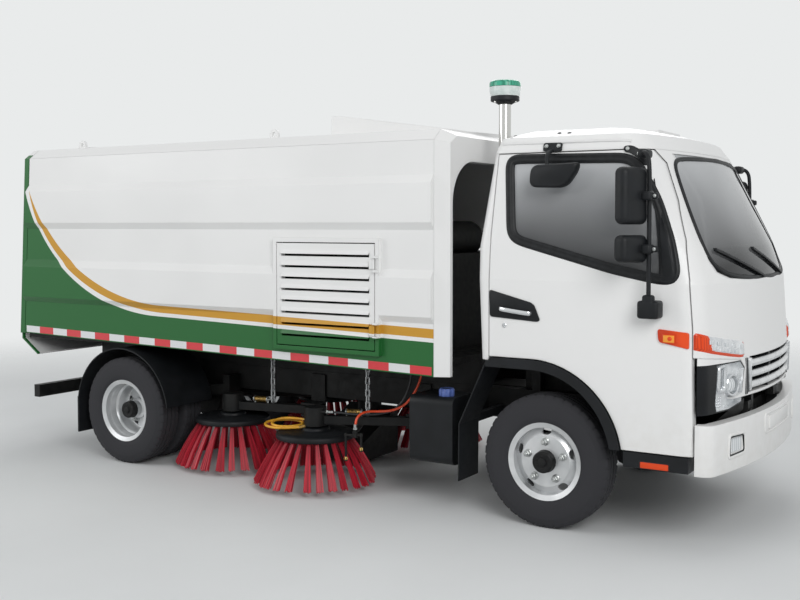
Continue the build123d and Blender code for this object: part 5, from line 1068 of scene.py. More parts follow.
class SWEEPER_OT_marking_tape(bpy.types.Operator):
    """Lays the red and white reflective tape along the body's lower edge"""
    bl_idname = "sweeper.marking_tape"
    bl_label = "Marking tape"

    def execute(self, context):
        settings = context.scene.sweeper
        for side, sign in SIDES:
            body_skin = skin("body_sides")
            bm = bmesh.new()
            rear, front = -2.69, 0.96
            count = round((front - rear) / settings.tape_block)
            for k in range(count):
                start, end = (rear + (front - rear) * (k + j) / count for j in (0, 1))
                corners = []
                for x, up in ((start, 0), (end, 0), (end, 1), (start, 1)):
                    z = 0.905 - 0.073 * (x + 2.764) / 3.738 + 0.008 + settings.tape_height * up
                    spot, _ = beside(body_skin, x, z, sign)
                    corners.append(spot)
                plate(bm, corners, 0.0008, (0, sign, 0), paint=k % 2)
            piece(f"reflective_tape_{side}", bm, "chassis", "white_paint", "tape_white", "tape_red")
        return {"FINISHED"}


class SWEEPER_OT_glazing(bpy.types.Operator):
    """Fits the rubbers round the windows and the printed bands of the windscreen"""
    bl_idname = "sweeper.glazing"
    bl_label = "Window rubbers"

    def rubber(self, bm, loop, width, rise, rounding):
        """A rubber strip over the edge of a pane; its corners are eased by passes of rounding."""
        points = evenly(loop, 0.015)
        count = len(points)

        def spread_over(i, part):
            before, here, after = (points[j % count][part] for j in (i - 1, i, i + 1))
            return before + 2.0 * here + after

        for _ in range(rounding):
            points = [(spread_over(i, 0) / 4.0, spread_over(i, 1).normalized()) for i in range(count)]
        half = width / 2.0
        section = [(-half, -0.003), (half, -0.003), (half, rise * 0.4), (half * 0.8, rise * 0.8),
                   (half * 0.45, rise), (half * 0.1, rise * 0.75), (-half * 0.1, rise * 0.75),
                   (-half * 0.45, rise), (-half * 0.8, rise * 0.8), (-half, rise * 0.4)]
        swept(bm, [p for p, _ in points], section, closed=True, up=[n for _, n in points])

    screen = ((0.0, 2.129), (0.30, 2.123), (0.56, 2.112), (0.655, 2.098), (0.690, 2.062), (0.708, 2.01),
              (0.735, 1.93), (0.757, 1.85), (0.776, 1.77), (0.790, 1.70), (0.798, 1.64), (0.793, 1.585),
              (0.768, 1.538), (0.715, 1.503), (0.63, 1.474), (0.50, 1.457), (0.30, 1.446), (0.0, 1.442))

    def face_point(self, front, y, z):
        """A point on the cab's face; where a seam lies there, the face is drawn across it."""
        def depth(a, b):
            spot = front.ray_cast((3.2, a, b), (-1, 0, 0), 1.1)[0]
            return spot.x if spot is not None else None
        found = [depth(y, z)]
        for step in (0.03, 0.045):
            for pair in ((depth(y - step, z), depth(y + step, z)), (depth(y, z - step), depth(y, z + step))):
                if None not in pair:
                    found.append(sum(pair) / 2.0)
        return Vector((max(x for x in found if x is not None), y, z))

    def along(self, table, at):
        """Reads a rising table of (key, value) pairs between its entries."""
        for (a, low), (b, high) in zip(table, table[1:]):
            if at <= b:
                return low + (high - low) * (at - a) / (b - a)
        return table[-1][1]

    def pane_edge(self, glass, sign, z):
        """How far from the middle the pane reaches at a height, found by rays from the front."""
        steps = (0.84 - 0.001 * k for k in range(400))
        return next(y for y in steps if glass.ray_cast((3.2, sign * y, z), (-1, 0, 0), 1.1)[0] is not None)

    def screen_band(self, front, sign):
        """The dark printed strip of the windscreen that runs up beside the pillar, as a bmesh."""
        outline = sorted((z, y) for y, z in self.screen[3:14])
        glass = skin("cab_glass")
        bm = bmesh.new()
        grid = []
        for k in range(31):
            z = 1.565 + (2.096 - 1.565) * k / 30
            inner, outer = self.pane_edge(glass, sign, z) - 0.02, self.along(outline, z)
            line = []
            for j in range(9):
                spot = self.face_point(front, sign * (inner + (outer - inner) * j / 8), z)
                line.append(bm.verts.new(spot + Vector((0.0032, 0.0, 0.0014))))
            grid.append(line)
        lofted(bm, grid, round_rings=False)
        return bm

    def execute(self, context):
        width = context.scene.sweeper.window_rubber
        for side, sign in SIDES:
            bm = bmesh.new()
            for pane in islands(f"door_glass_{side}"):
                for loop in rim_loops(pane, lambda f: f.normal.y * sign > 0.35):
                    self.rubber(bm, loop, width, 0.016, 14)
                pane.free()
            piece(f"door_window_rubber_{side}", bm, f"door_body_{side}", "flap_plastic", "window_rubber")
        bm = bmesh.new()
        heart = Vector((FRONT_AXLE_X + 0.1, 0.0, 1.7))
        front = skin("cab_front", "cab_glass", "cab_roof")
        right = [(-y, z) for y, z in self.screen]
        left = [(y, z) for y, z in reversed(self.screen[1:-1])]
        loop = []
        for y, z in right + left:
            loop.append((self.face_point(front, y, z), Vector((0.9, 0.2 * y, 0.4)).normalized()))
        self.rubber(bm, loop, 0.026, 0.009, 10)
        for side, sign in SIDES:
            piece(f"windscreen_band_{side}", self.screen_band(front, sign), "cab", "tinted_glass",
                  "printed_glass")

        def outside(face):
            return face.normal.dot((face.calc_center_median() - heart).normalized()) > 0.25

        for pane in islands("cab_glass"):
            if max(v.co.x for v in pane.verts) < FRONT_AXLE_X:
                for loop in rim_loops(pane, outside):
                    self.rubber(bm, loop, 0.030, 0.007, 8)
            pane.free()
        piece("windscreen_rubber", bm, "cab", "flap_plastic", "window_rubber")
        return {"FINISHED"}


class SWEEPER_OT_mirrors(bpy.types.Operator):
    """Builds the door mirrors: rounded heads with glass, pole, clamps, foot and roof brackets"""
    bl_idname = "sweeper.mirrors"
    bl_label = "Mirrors"

    def head(self, bm, sign, low, high, radius):
        """One mirror head, its outer end swung back about the pole, with a glass set in its rear face."""
        turn = Matrix.Rotation(math.radians(sign * 20.0), 3, "Z")
        hinge = Vector((2.300, sign * 1.052, 0.0))
        start = len(bm.verts)
        block(bm, (2.226, sign * 1.240, low), (2.311, sign * 1.040, high), radius, 6)
        block(bm, (2.2256, sign * 1.214, low + 0.022), (2.230, sign * 1.064, high - 0.022), 0.0004, 1,
              paint=1)
        bm.verts.ensure_lookup_table()
        for vert in bm.verts[start:]:
            vert.co = hinge + turn @ (vert.co - hinge)

    def execute(self, context):
        for side, sign in SIDES:
            bm = bmesh.new()
            roof = skin("cab_roof", "cab_front", f"door_{side}")
            course = ((2.319, 1.065, 1.33), (2.319, 1.065, 1.75), (2.319, 1.065, 2.06),
                      (2.300, 1.055, 2.118), (2.262, 1.015, 2.128))
            swept(bm, eased([(x, sign * y, z) for x, y, z in course]), ring_section(0.012, 14))
            for low, high, radius in ((1.745, 2.045, 0.036), (1.545, 1.690, 0.032)):
                self.head(bm, sign, low, high, radius)
                middle = (low + high) / 2.0
                block(bm, (2.288, sign * 1.118, middle - 0.024), (2.342, sign * 1.040, middle + 0.024),
                      0.012)
                block(bm, (2.330, sign * 1.084, middle - 0.017), (2.366, sign * 1.046, middle + 0.017),
                      0.009)
                hex_bolt(bm, (2.352, sign * 1.083, middle), (0, sign, 0), 0.013, 0.007, 2)
            block(bm, (2.288, sign * 1.088, 1.318), (2.350, sign * 1.042, 1.376), 0.014, 4)
            block(bm, (2.262, sign * 1.090, 1.250), (2.376, sign * 0.987, 1.345), 0.016, 4)
            block(bm, (2.235, sign * 1.030, 2.095), (2.292, sign * 0.925, 2.145), 0.018)
            corner = rounded([(2.118, 2.172), (2.160, 2.176), (2.206, 2.150), (2.262, 2.075), (2.236, 2.060),
                              (2.196, 2.106), (2.156, 2.134), (2.122, 2.140)], 0.016, 4)
            side_plate(bm, roof, corner, sign, 0.009, 0, 0.003)
            for x, z in ((2.140, 2.156), (2.198, 2.126)):
                spot, normal = beside(roof, x, z, sign)
                hex_bolt(bm, spot + normal * 0.010, normal, 0.014, 0.008, 2)
            self.kerb_mirror(bm, sign, roof)
            made = piece(f"door_mirrors_{side}", bm, f"door_body_{side}", "flap_plastic",
                         "moulded_polypropylene", "mirror_glass", "zinc_plate")
            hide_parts(f"mirrors_{side}")
        return {"FINISHED"}

    def kerb_mirror(self, bm, sign, roof):
        """The kerb mirror on its bracket at the roof's edge: a shell with its glass on the inner side."""
        outline = rounded([(1.628, 2.076), (1.914, 2.084), (1.902, 2.038), (1.836, 1.946), (1.616, 1.952)],
                          0.05, 7)
        levels = ((-0.060, 0.86), (-0.054, 0.95), (-0.040, 1.0), (-0.012, 1.0), (0.006, 0.95), (0.014, 0.84))
        middle = Vector((1.765, 2.018))
        rings = []
        for depth, scale in levels:
            shrunk = [middle + (p - middle) * scale for p in outline]
            rings.append([bm.verts.new((p.x, sign * (0.999 - depth), p.y)) for p in shrunk])
        lofted(bm, rings)
        bm.faces.new(rings[0][::-1])
        bm.faces.new(rings[-1]).material_index = 1
        foot = rounded([(1.644, 2.158), (1.756, 2.156), (1.752, 2.206), (1.640, 2.208)], 0.012, 4)
        side_plate(bm, roof, foot, sign, 0.012, 0, 0.003)
        for x in (1.662, 1.736):
            spot, normal = beside(roof, x, 2.182, sign)
            hex_bolt(bm, spot + normal * 0.012, normal, 0.016, 0.009, 2)
        stalk = ((1.70, 0.905, 2.160), (1.70, 0.960, 2.150), (1.705, 1.0, 2.125), (1.715, 1.012, 2.06))
        swept(bm, eased([(x, sign * y, z) for x, y, z in stalk]), ring_section(0.011))


class SWEEPER_OT_lamps(bpy.types.Operator):
    """Builds the headlamps, turn lamps, fog lamps and tail lamps"""
    bl_idname = "sweeper.lamps"
    bl_label = "Lamps"

    def execute(self, context):
        for solid in islands("cab_lamps"):
            middle = middle_of(solid)
            side, sign = ("right", -1.0) if middle.y < 0 else ("left", 1.0)
            if middle.z > 2.3:
                solid.free()
            elif middle.z > 1.07:
                solid.free()
                self.turn_lamp(side, sign)
            else:
                self.headlamp(solid, side, sign)
        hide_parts("cab_lamps")
        for number, solid in enumerate(islands("chassis_lamps")):
            build = self.fog_lamp if middle_of(solid).x > 0 else self.tail_lamp
            build(solid, number)
        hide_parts("chassis_lamps")
        return {"FINISHED"}

    def split(self, bm, point, normal):
        """Cuts every face along a plane, so that each part can take its own material."""
        bmesh.ops.bisect_plane(bm, geom=bm.verts[:] + bm.edges[:] + bm.faces[:], dist=1e-6, plane_co=point,
                               plane_no=normal)

    def turn_lamp(self, side, sign):
        """The signal lamp: amber at the corner and along the foot, a clear field of small lamps in front."""
        cab = skin("cab_front")
        course = ((2.532, 0.9690, 1.180, 1.088), (2.566, 0.935, 1.170, 1.078), (2.601, 0.889, 1.156, 1.066),
                  (2.625, 0.799, 1.142, 1.050), (2.655, 0.700, 1.127, 1.034), (2.681, 0.604, 1.112, 1.021),
                  (2.690, 0.552, 1.102, 1.020))
        columns, rows = 24, 6
        bm = bmesh.new()
        grid = []
        for i in range(columns + 1):
            at = i / columns * (len(course) - 1)
            k = min(int(at), len(course) - 2)
            x, y, top, foot = (a + (b - a) * (at - k) for a, b in zip(course[k], course[k + 1]))
            line = []
            for j in range(rows + 1):
                spot, normal, _, _ = cab.find_nearest((x, sign * y, foot + (top - foot) * j / rows))
                line.append((spot, normal))
            grid.append(line)
        front = []
        for i, line in enumerate(grid):
            rises = [0.0 if i in (0, columns) or j in (0, rows) else 0.010 for j in range(rows + 1)]
            front.append([bm.verts.new(spot + normal * rise) for (spot, normal), rise in zip(line, rises)])
        for i in range(columns):
            for j in range(rows):
                face = bm.faces.new((front[i][j], front[i + 1][j], front[i + 1][j + 1], front[i][j + 1]))
                face.material_index = 1 if i - 0.6 * (rows - j) > 5.5 and j > 0 and i < columns - 1 else 0
        for i in range(8, columns - 1, 3):
            for j in (2, 4):
                spot, normal = grid[i + (j == 2)][j]
                half = Vector((0.003, 0.019, 0.011))
                centre = spot + normal * 0.011
                block(bm, centre - half, centre + half, 0.0025, 2,
                      Vector((1, 0, 0)).rotation_difference(normal).to_matrix(), paint=2)
        frame_line = [grid[1][1], grid[4][1], grid[4][5], grid[1][5]]
        for (a, na), (b, nb) in zip(frame_line, frame_line[1:] + frame_line[:1]):
            swept(bm, [a + na * 0.0105, b + nb * 0.0105], ring_section(0.0028, 8), up=[na, nb])
        return piece(f"turn_lamp_{side}", bm, "cab", "clear_lens", "amber_acrylic", "lamp_reflector",
                     "clear_acrylic")

    def headlamp(self, bm, side, sign):
        """A deep reflector bowl behind a clear cover, with a gloss-black panel at the corner."""
        for vert in bm.verts:
            if vert.co.z < 0.86:
                vert.co.z -= 0.052
        bm.normal_update()
        corner_y, brow_z = 0.835, 1.004
        self.split(bm, (0.0, sign * corner_y, 0.92), Vector((0.0, 1.0, sign * 0.06)).normalized())
        self.split(bm, (0.0, 0.0, brow_z), (0, 0, 1))

        def in_window(face):
            centre = face.calc_center_median()
            faces_ahead = face.normal.x > 0.3 and abs(face.normal.z) < 0.8
            return faces_ahead and abs(centre.y) < corner_y and centre.z < brow_z

        window = [f for f in bm.faces if in_window(f)]
        cover = bmesh.new()
        corners = {}
        for face in window:
            for vert in face.verts:
                if vert not in corners:
                    corners[vert] = cover.verts.new(vert.co)
            cover.faces.new([corners[v] for v in face.verts])
        bmesh.ops.inset_region(bm, faces=window, thickness=0.008, depth=0.0, use_even_offset=True)
        walls = bmesh.ops.extrude_face_region(bm, geom=window)
        floor = [g for g in walls["geom"] if isinstance(g, bmesh.types.BMFace)]
        bmesh.ops.delete(bm, geom=window, context="FACES")
        bmesh.ops.translate(bm, vec=(-0.034, 0.0, 0.0), verts=list({v for f in floor for v in f.verts}))
        bm.normal_update()
        bowl = set(floor) | {f for v in {v for f in floor for v in f.verts} for f in v.link_faces}
        for face in bm.faces:
            face.material_index = 1 if face in bowl else 4 if face.calc_center_median().z > brow_z else 0
        back = BVHTree.FromBMesh(bm)
        ring = rounded([(0.712, 0.850), (0.782, 0.850), (0.776, 0.984), (0.718, 0.984)], 0.032)
        points = [ahead(back, sign * y, z)[0] + Vector((0.012, 0, 0)) for y, z in ring]
        swept(bm, points, ring_section(0.015, 10), closed=True, up=[Vector((1, 0, 0))] * len(points),
              paint=2)
        spot, _ = ahead(back, sign * 0.636, 0.872)
        spun(bm, [(0.0, 0.060), (0.022, 0.060), (0.026, 0.056), (0.024, 0.048), (0.010, 0.044),
                  (0.0, 0.044)], spot, (1, sign * 0.35, 0), 40, True, 2)
        domed(bm, spot, (1, sign * 0.35, 0), 0.044, 0.026, 32, 3)
        for row in range(4):
            for column in range(5):
                y, z = sign * (0.800 - 0.018 * column), 0.766 + 0.0155 * row
                spot, _ = ahead(back, y, z)
                domed(bm, spot, (1, 0, 0), 0.0068, 0.006, 10, 2)
        made = piece(f"headlamp_{side}", bm, "cab", "clear_lens", "black_acrylic", "lamp_reflector",
                     "chrome_plate", "clear_acrylic", "coach_enamel")
        piece(f"headlamp_cover_{side}", cover, "cab", "clear_lens", "lamp_polycarbonate")
        return made

    def fog_lamp(self, bm, number):
        """A ribbed clear lens."""
        front = BVHTree.FromBMesh(bm)
        low, high = box_of(bm)
        for k in range(17):
            y = low.y + (high.y - low.y) * (k + 0.5) / 17
            foot, _ = ahead(front, y, low.z + 0.006)
            top, _ = ahead(front, y, high.z - 0.006)
            swept(bm, [foot, top], ring_section(0.0026, 8), up=[Vector((1, 0, 0))] * 2)
        return piece(f"fog_lamp_{number}", bm, "chassis", "clear_lens", "clear_acrylic")

    def tail_lamp(self, bm, number):
        """Three chambers: red, amber and clear, each with a raised lens in a black frame."""
        low, high = box_of(bm)
        span = (high.y - low.y - 0.024) / 3.0
        for k, paint in enumerate((1, 2, 3) if low.y < 0 else (3, 2, 1)):
            left = low.y + 0.012 + span * k
            block(bm, (low.x - 0.006, left + 0.003, low.z + 0.009),
                  (low.x + 0.006, left + span - 0.003, high.z - 0.009), 0.005, paint=paint)
        return piece(f"tail_lamp_{number}", bm, "chassis", "clear_lens", "moulded_polypropylene",
                     "red_acrylic", "amber_acrylic", "clear_acrylic")


class SWEEPER_OT_beacon(bpy.types.Operator):
    """Builds the beacon on its steel pole"""
    bl_idname = "sweeper.beacon"
    bl_label = "Beacon"

    def execute(self, context):
        bm = bmesh.new()
        low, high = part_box("beacon")
        x, y = (low[0] + high[0]) / 2.0, (low[1] + high[1]) / 2.0
        centre, up = (x, y, 0.0), (0, 0, 1)
        spun(bm, [(2.040, 0.0), (2.040, 0.037), (2.492, 0.037), (2.492, 0.0)], centre, up, 40)
        spun(bm, [(2.052, 0.036), (2.052, 0.044), (2.058, 0.046), (2.086, 0.046), (2.092, 0.044),
                  (2.092, 0.036)], centre, up, 40)
        spun(bm, [(2.470, 0.0), (2.470, 0.040), (2.482, 0.060), (2.489, 0.084), (2.493, 0.0875),
                  (2.514, 0.0875), (2.519, 0.085), (2.519, 0.0)], centre, up, 56, paint=1)
        spun(bm, [(2.519, 0.0), (2.519, 0.085), (2.524, 0.0895), (2.550, 0.0935), (2.574, 0.095),
                  (2.576, 0.0)], centre, up, 56, paint=2)
        spun(bm, [(2.576, 0.0), (2.576, 0.095), (2.596, 0.095), (2.606, 0.091), (2.612, 0.080),
                  (2.615, 0.060), (2.615, 0.0)], centre, up, 56, paint=3)
        for k in range(3):
            angle = 2.0 * math.pi * k / 3
            spot = (x + 0.070 * math.cos(angle), y + 0.070 * math.sin(angle), 2.486)
            hex_bolt(bm, spot, (0, 0, -1), 0.010, 0.006)
        made = piece("beacon_lamp", bm, "cab", "pole_steel", "polished_stainless", "moulded_polypropylene",
                     "opal_acrylic", "green_acrylic")
        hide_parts("beacon")
        return {"FINISHED"}


class SWEEPER_OT_seats(bpy.types.Operator):
    """Upholsters the three seats with crowned pads and seams"""
    bl_idname = "sweeper.seats"
    bl_label = "Seats"

    def pad(self, name, low, high, crown):
        """A foam pad: a box whose faces swell and whose sides pull in between the corners."""
        bm = bmesh.new()
        low, high = Vector(low), Vector(high)
        bmesh.ops.create_cube(bm, size=2.0)
        bmesh.ops.subdivide_edges(bm, edges=bm.edges[:], cuts=7, use_grid_fill=True)
        half, middle = (high - low) / 2.0, (high + low) / 2.0

        def swell(a, b, c):
            return a * math.sqrt(1 - b * b / 2 - c * c / 2 + b * b * c * c / 3)

        for vert in bm.verts:
            u = vert.co.copy()
            round_off = Vector((swell(u.x, u.y, u.z), swell(u.y, u.z, u.x), swell(u.z, u.x, u.y)))
            shape = u.lerp(round_off, crown)
            top = max(0.0, u.z)
            channel = 0.05 * math.exp(-((abs(u.y) - 0.5) / 0.09) ** 2) * top
            vert.co = middle + Vector((shape.x * half.x, shape.y * half.y, (shape.z - channel) * half.z))
        made = piece(name, bm, "cab", "seat_cloth", "seat_weave", smooth=60.0)
        modifier = made.modifiers.new("soft_form", "SUBSURF")
        modifier.levels = modifier.render_levels = 1
        return made

    def execute(self, context):
        for seat_name, y, wide in (("right", -0.59, 0.52), ("middle", 0.0, 0.46), ("left", 0.59, 0.52)):
            half = wide / 2.0 - 0.006
            self.pad(f"seat_cushion_{seat_name}", (1.50, y - half, 1.05),
                                 (1.934, y + half, 1.315), 0.42)
            self.pad(f"seat_back_{seat_name}", (1.374, y - half, 1.0), (1.494, y + half, 1.925),
                                 0.40)
            self.pad(f"seat_headrest_{seat_name}", (1.384, y - 0.13, 1.93),
                                 (1.464, y + 0.13, 2.085), 0.5)
        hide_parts("seats")
        return {"FINISHED"}


class SWEEPER_OT_hoses(bpy.types.Operator):
    """Lays the hoses of the front right brush and fits their ends"""
    bl_idname = "sweeper.hoses"
    bl_label = "Hoses"

    # Along the arm from its pivot, out from the arm, height; all in millimetres.
    hydraulic_route = ((600, 45, 497), (520, 45, 497), (430, 52, 487), (335, 53, 485), (240, 54, 493),
                       (155, 61, 516), (88, 72, 575), (46, 78, 665), (24, 72, 768), (24, 72, 869.7))
    spray_route = ((-46, 66, 869.7), (-46, 66, 786), (-22, 72, 702), (18, 80, 622), (75, 86, 556),
                   (150, 92, 524), (235, 112, 520), (305, 155, 528), (352, 214, 518), (374, 245, 476),
                   (374, 245, 424))

    def on_arm(self, along, out, height):
        """A point given along the arm from its pivot, out from it and by its height, in millimetres."""
        return Vector((0.544 + (-0.90581 * along + 0.42369 * out) * MM,
                       -0.470 + (-0.42369 * along - 0.90581 * out) * MM, height * MM))

    def on_coil(self, along, across_it, lift):
        """A point along the tilted coil from its middle, across it and off its plane, in millimetres."""
        heading, outward = Vector((-0.96, -0.28, 0.0)), Vector((0.28, -0.96, 0.0))
        tilt = math.radians(-6.0)
        side = outward * math.cos(tilt) + Vector((0, 0, math.sin(tilt)))
        up = Vector((0, 0, math.cos(tilt))) - outward * math.sin(tilt)
        middle = Vector((-0.076, -0.760, 0.408)) + heading * 0.2256
        return middle + (heading * along + side * across_it + up * lift) * MM

    def coil_route(self):
        """Two loose turns, the second smaller: points along the coil, across it and off its plane."""
        points = [(-159, 44, -10), (-140, 62, -10)]
        for step in range(26):
            turned = math.radians(126 - 24 * step)
            drawn_in = min(max((step - 12) / 8, 0.0), 1.0)
            lifted = max((step - 12) / 13, 0.0)
            points.append(((134 - 55 * drawn_in) * math.cos(turned),
                           (101 - 26 * drawn_in) * math.sin(turned), 20 * lifted - 10))
        return points + [(-78, -64, 11), (-120, -50, 11), (-159, -42, 11)]

    def hose(self, name, points, diameter, skin_name, slot, node_name):
        """A round hose along a soft line near its points, in place of its CAD node."""
        curve = bpy.data.curves.new(name, "CURVE")
        curve.dimensions = "3D"
        line = curve.splines.new("NURBS")
        line.points.add(len(points) - 1)
        for point, at in zip(line.points, points):
            point.co = (*at, 1.0)
        line.order_u = 3
        line.use_endpoint_u = True
        curve.resolution_u = 10
        curve.bevel_depth = diameter / 2.0
        curve.bevel_resolution = 4
        curve.use_fill_caps = True
        curve.materials.append(finish(skin_name))
        made = bpy.data.objects.new(name, curve)
        bpy.context.scene.collection.objects.link(made)
        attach(made, "arm_front_right")
        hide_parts(node_name)
        return made

    def ferrule(self, bm, at, towards, radius, length, paint=0):
        """A swaged end: a hexagon nut, then a ribbed sleeve over the hose."""
        axis = (Vector(towards) - Vector(at)).normalized()
        spun(bm, [(-0.004, 0.0), (-0.004, radius * 1.75), (0.010, radius * 1.75), (0.012, radius * 1.5),
                  (0.012, 0.0)], at, axis, 6, paint=paint)
        ribs = [(0.012, radius * 1.02)]
        count = 4
        for k in range(count):
            start = 0.012 + (length - 0.012) * k / count
            step = (length - 0.012) / count
            ribs += [(start + 0.1 * step, radius * 1.4), (start + 0.7 * step, radius * 1.4),
                     (start + 0.85 * step, radius * 1.25)]
        ribs += [(length, radius * 1.25), (length, radius * 1.02)]
        spun(bm, ribs, at, axis, 24, closed=True, paint=paint)

    def execute(self, context):
        hydraulic = [self.on_arm(*p) for p in self.hydraulic_route]
        spray = [self.on_arm(*p) for p in self.spray_route]
        coil = [self.on_coil(*p) for p in self.coil_route()]
        bm = bmesh.new()
        self.ferrule(bm, hydraulic[0], hydraulic[1], 0.008, 0.044)
        self.ferrule(bm, spray[-1], spray[-2], 0.008, 0.034)
        for start, after in ((coil[0], coil[1]), (coil[-1], coil[-2])):
            self.ferrule(bm, start, after, 0.009, 0.036, 1)
        for along, foot in ((436, 219), (336, 281)):
            at = self.on_arm(along, 245, foot)
            spun(bm, [(-0.001, 0.0), (-0.001, 0.005), (0.004, 0.0055), (0.007, 0.0135), (0.021, 0.0135),
                      (0.026, 0.010), (0.027, 0.0)], at, (0, 0, 1), 6, paint=1)
        piece("hose_ends", bm, "arm_front_right", "wheel_silver", "zinc_plate", "lacquered_brass")
        first = self.hose("hydraulic_pipe", hydraulic, 0.016, "hydraulic_rubber", "black_hose",
                          "hydraulic_hose")
        second = self.hose("spray_pipe", spray, 0.016, "orange_pvc", "orange_hose", "spray_hose")
        third = self.hose("water_pipe", coil, 0.018, "yellow_pvc", "yellow_hose", "water_hose_coil")
        return {"FINISHED"}


class SWEEPER_OT_arm_springs(bpy.types.Operator):
    """Winds the relief spring along the top of each brush arm"""
    bl_idname = "sweeper.arm_springs"
    bl_label = "Arm springs"

    def execute(self, context):
        for end, pivot, centre in (("front", (0.544, 0.470), (-0.076, 0.760)),
                                   ("rear", (-0.326, 0.470), (-0.936, 0.600))):
            for side, sign in SIDES:
                bm = bmesh.new()
                foot, tip = (Vector((x, sign * y, 0.492)) for x, y in (pivot, centre))
                along = (tip - foot).normalized()
                hook = foot.lerp(tip, 0.48)
                start, stop = hook + along * 0.050, hook + along * 0.140
                first, second = across(along)
                turns, steps = 9, 14
                wire = []
                for k in range(turns * steps + 1):
                    angle = 2.0 * math.pi * k / steps
                    spoke = first * math.cos(angle) + second * math.sin(angle)
                    wire.append(start.lerp(stop, k / (turns * steps)) + spoke * 0.0185)
                swept(bm, wire, ring_section(0.0038, 8))
                swept(bm, [hook + along * 0.020, start - along * 0.002, stop + along * 0.014],
                      ring_section(0.006, 10), paint=1)
                for at in (start - along * 0.006, stop + along * 0.006):
                    spun(bm, [(-0.003, 0.0), (-0.003, 0.024), (0.003, 0.024), (0.003, 0.0)], at, along, 24,
                         paint=1)
                    down = Vector((0, 0, -0.024))
                    swept(bm, [at, at + down],
                          [(0.004, 0.010), (-0.004, 0.010), (-0.004, -0.010), (0.004, -0.010)], paint=1)
                piece(f"arm_spring_{end}_{side}", bm, f"arm_{end}_{side}", "wheel_silver", "lacquered_brass",
                      "zinc_plate")
        return {"FINISHED"}


class SWEEPER_OT_door_trim(bpy.types.Operator):
    """Fits the handle plates, keyholes, black quarter panels and side repeaters to the doors"""
    bl_idname = "sweeper.door_trim"
    bl_label = "Door trim"

    def sail_panel(self, side, sign):
        """The black panel behind the mirror, over the front corner of the door glass, as a bmesh."""
        door = skin(f"door_{side}", f"door_glass_{side}")
        edges = ((1.446, 2.350, 2.418), (1.475, 2.346, 2.440), (1.528, 2.343, 2.434), (1.62, 2.338, 2.410),
                 (1.700, 2.334, 2.386), (1.770, 2.330, 2.362), (1.830, 2.326, 2.336))
        columns = 5
        bm = bmesh.new()
        grid = []
        for i, (z, back, front) in enumerate(edges):
            line = []
            for j in range(columns + 1):
                x = back + (front - back) * j / columns
                spot, _ = beside(door, x, z, sign)
                rise = 0.0 if i in (0, len(edges) - 1) or j in (0, columns) else 0.018
                line.append(bm.verts.new(spot + Vector((0.15, sign * 0.98, 0.12)) * rise))
            grid.append(line)
        lofted(bm, grid, round_rings=False)
        return bm

    def execute(self, context):
        for side, sign in SIDES:
            door = skin(f"door_{side}", f"door_glass_{side}")
            bm = bmesh.new()
            side_plate(bm, door, rounded([(1.346, 1.370), (1.608, 1.304), (1.630, 1.288), (1.664, 1.206),
                                          (1.650, 1.196), (1.350, 1.214)], 0.014, 4), sign, 0.006, 0, 0.003)
            y = beside(door, 1.5, 1.25, sign)[0].y
            course = ((1.414, 0.004, 1.262), (1.424, 0.026, 1.262), (1.512, 0.032, 1.252),
                      (1.600, 0.026, 1.242), (1.610, 0.004, 1.241))
            bar = eased([(x, y + sign * out, z) for x, out, z in course])
            oval = [(0.013 * side_way, 0.006 * outward) for side_way, outward in ring_section(1.0, 14)]
            swept(bm, bar, oval, up=[Vector((0, sign, 0))] * len(bar), paint=1)
            spot, _ = beside(door, 1.441, 1.167, sign)
            spun(bm, [(-0.001, 0.0), (-0.001, 0.014), (0.004, 0.014), (0.006, 0.011), (0.006, 0.0085),
                      (0.004, 0.0075), (0.004, 0.0)], spot, (0, sign, 0), 28, paint=1)
            block(bm, (spot.x - 0.0012, spot.y + sign * 0.0035, spot.z - 0.006),
                  (spot.x + 0.0012, spot.y + sign * 0.0052, spot.z + 0.006), 0.0005, 2, paint=0)
            side_plate(bm, door, rounded([(2.286, 2.000), (2.318, 1.880), (2.372, 1.716), (2.412, 1.584),
                                          (2.440, 1.462), (2.436, 1.440), (2.362, 1.440), (2.338, 1.620),
                                          (2.318, 1.770), (2.296, 1.890)], 0.014, 4), sign, 0.008, 0, 0.002)
            piece(f"door_trim_{side}", bm, f"door_body_{side}", "flap_plastic", "moulded_polypropylene",
                  "chrome_plate", smooth=30.0)
            bm = bmesh.new()
            lens = rounded([(2.346, 1.192), (2.512, 1.178), (2.513, 1.092), (2.352, 1.124)], 0.012, 5)
            side_plate(bm, door, lens, sign, 0.010, 0, 0.004)
            y = beside(door, 2.42, 1.15, sign)[0].y + sign * 0.009
            block(bm, (2.372, y - sign * 0.002, 1.118), (2.444, y + sign * 0.004, 1.168), 0.003, 2, paint=0)
            block(bm, (2.378, y, 1.124), (2.438, y + sign * 0.006, 1.162), 0.004, 2, paint=1)
            domed(bm, (2.414, y + sign * 0.006, 1.144), (0, sign, 0), 0.012, 0.005, 20, 0)
            piece(f"sail_panel_{side}", self.sail_panel(side, sign), f"door_body_{side}", "flap_plastic",
                  "moulded_polypropylene")
            piece(f"side_repeater_{side}", bm, f"door_body_{side}", "clear_lens", "amber_acrylic",
                  "signal_prism")
        return {"FINISHED"}


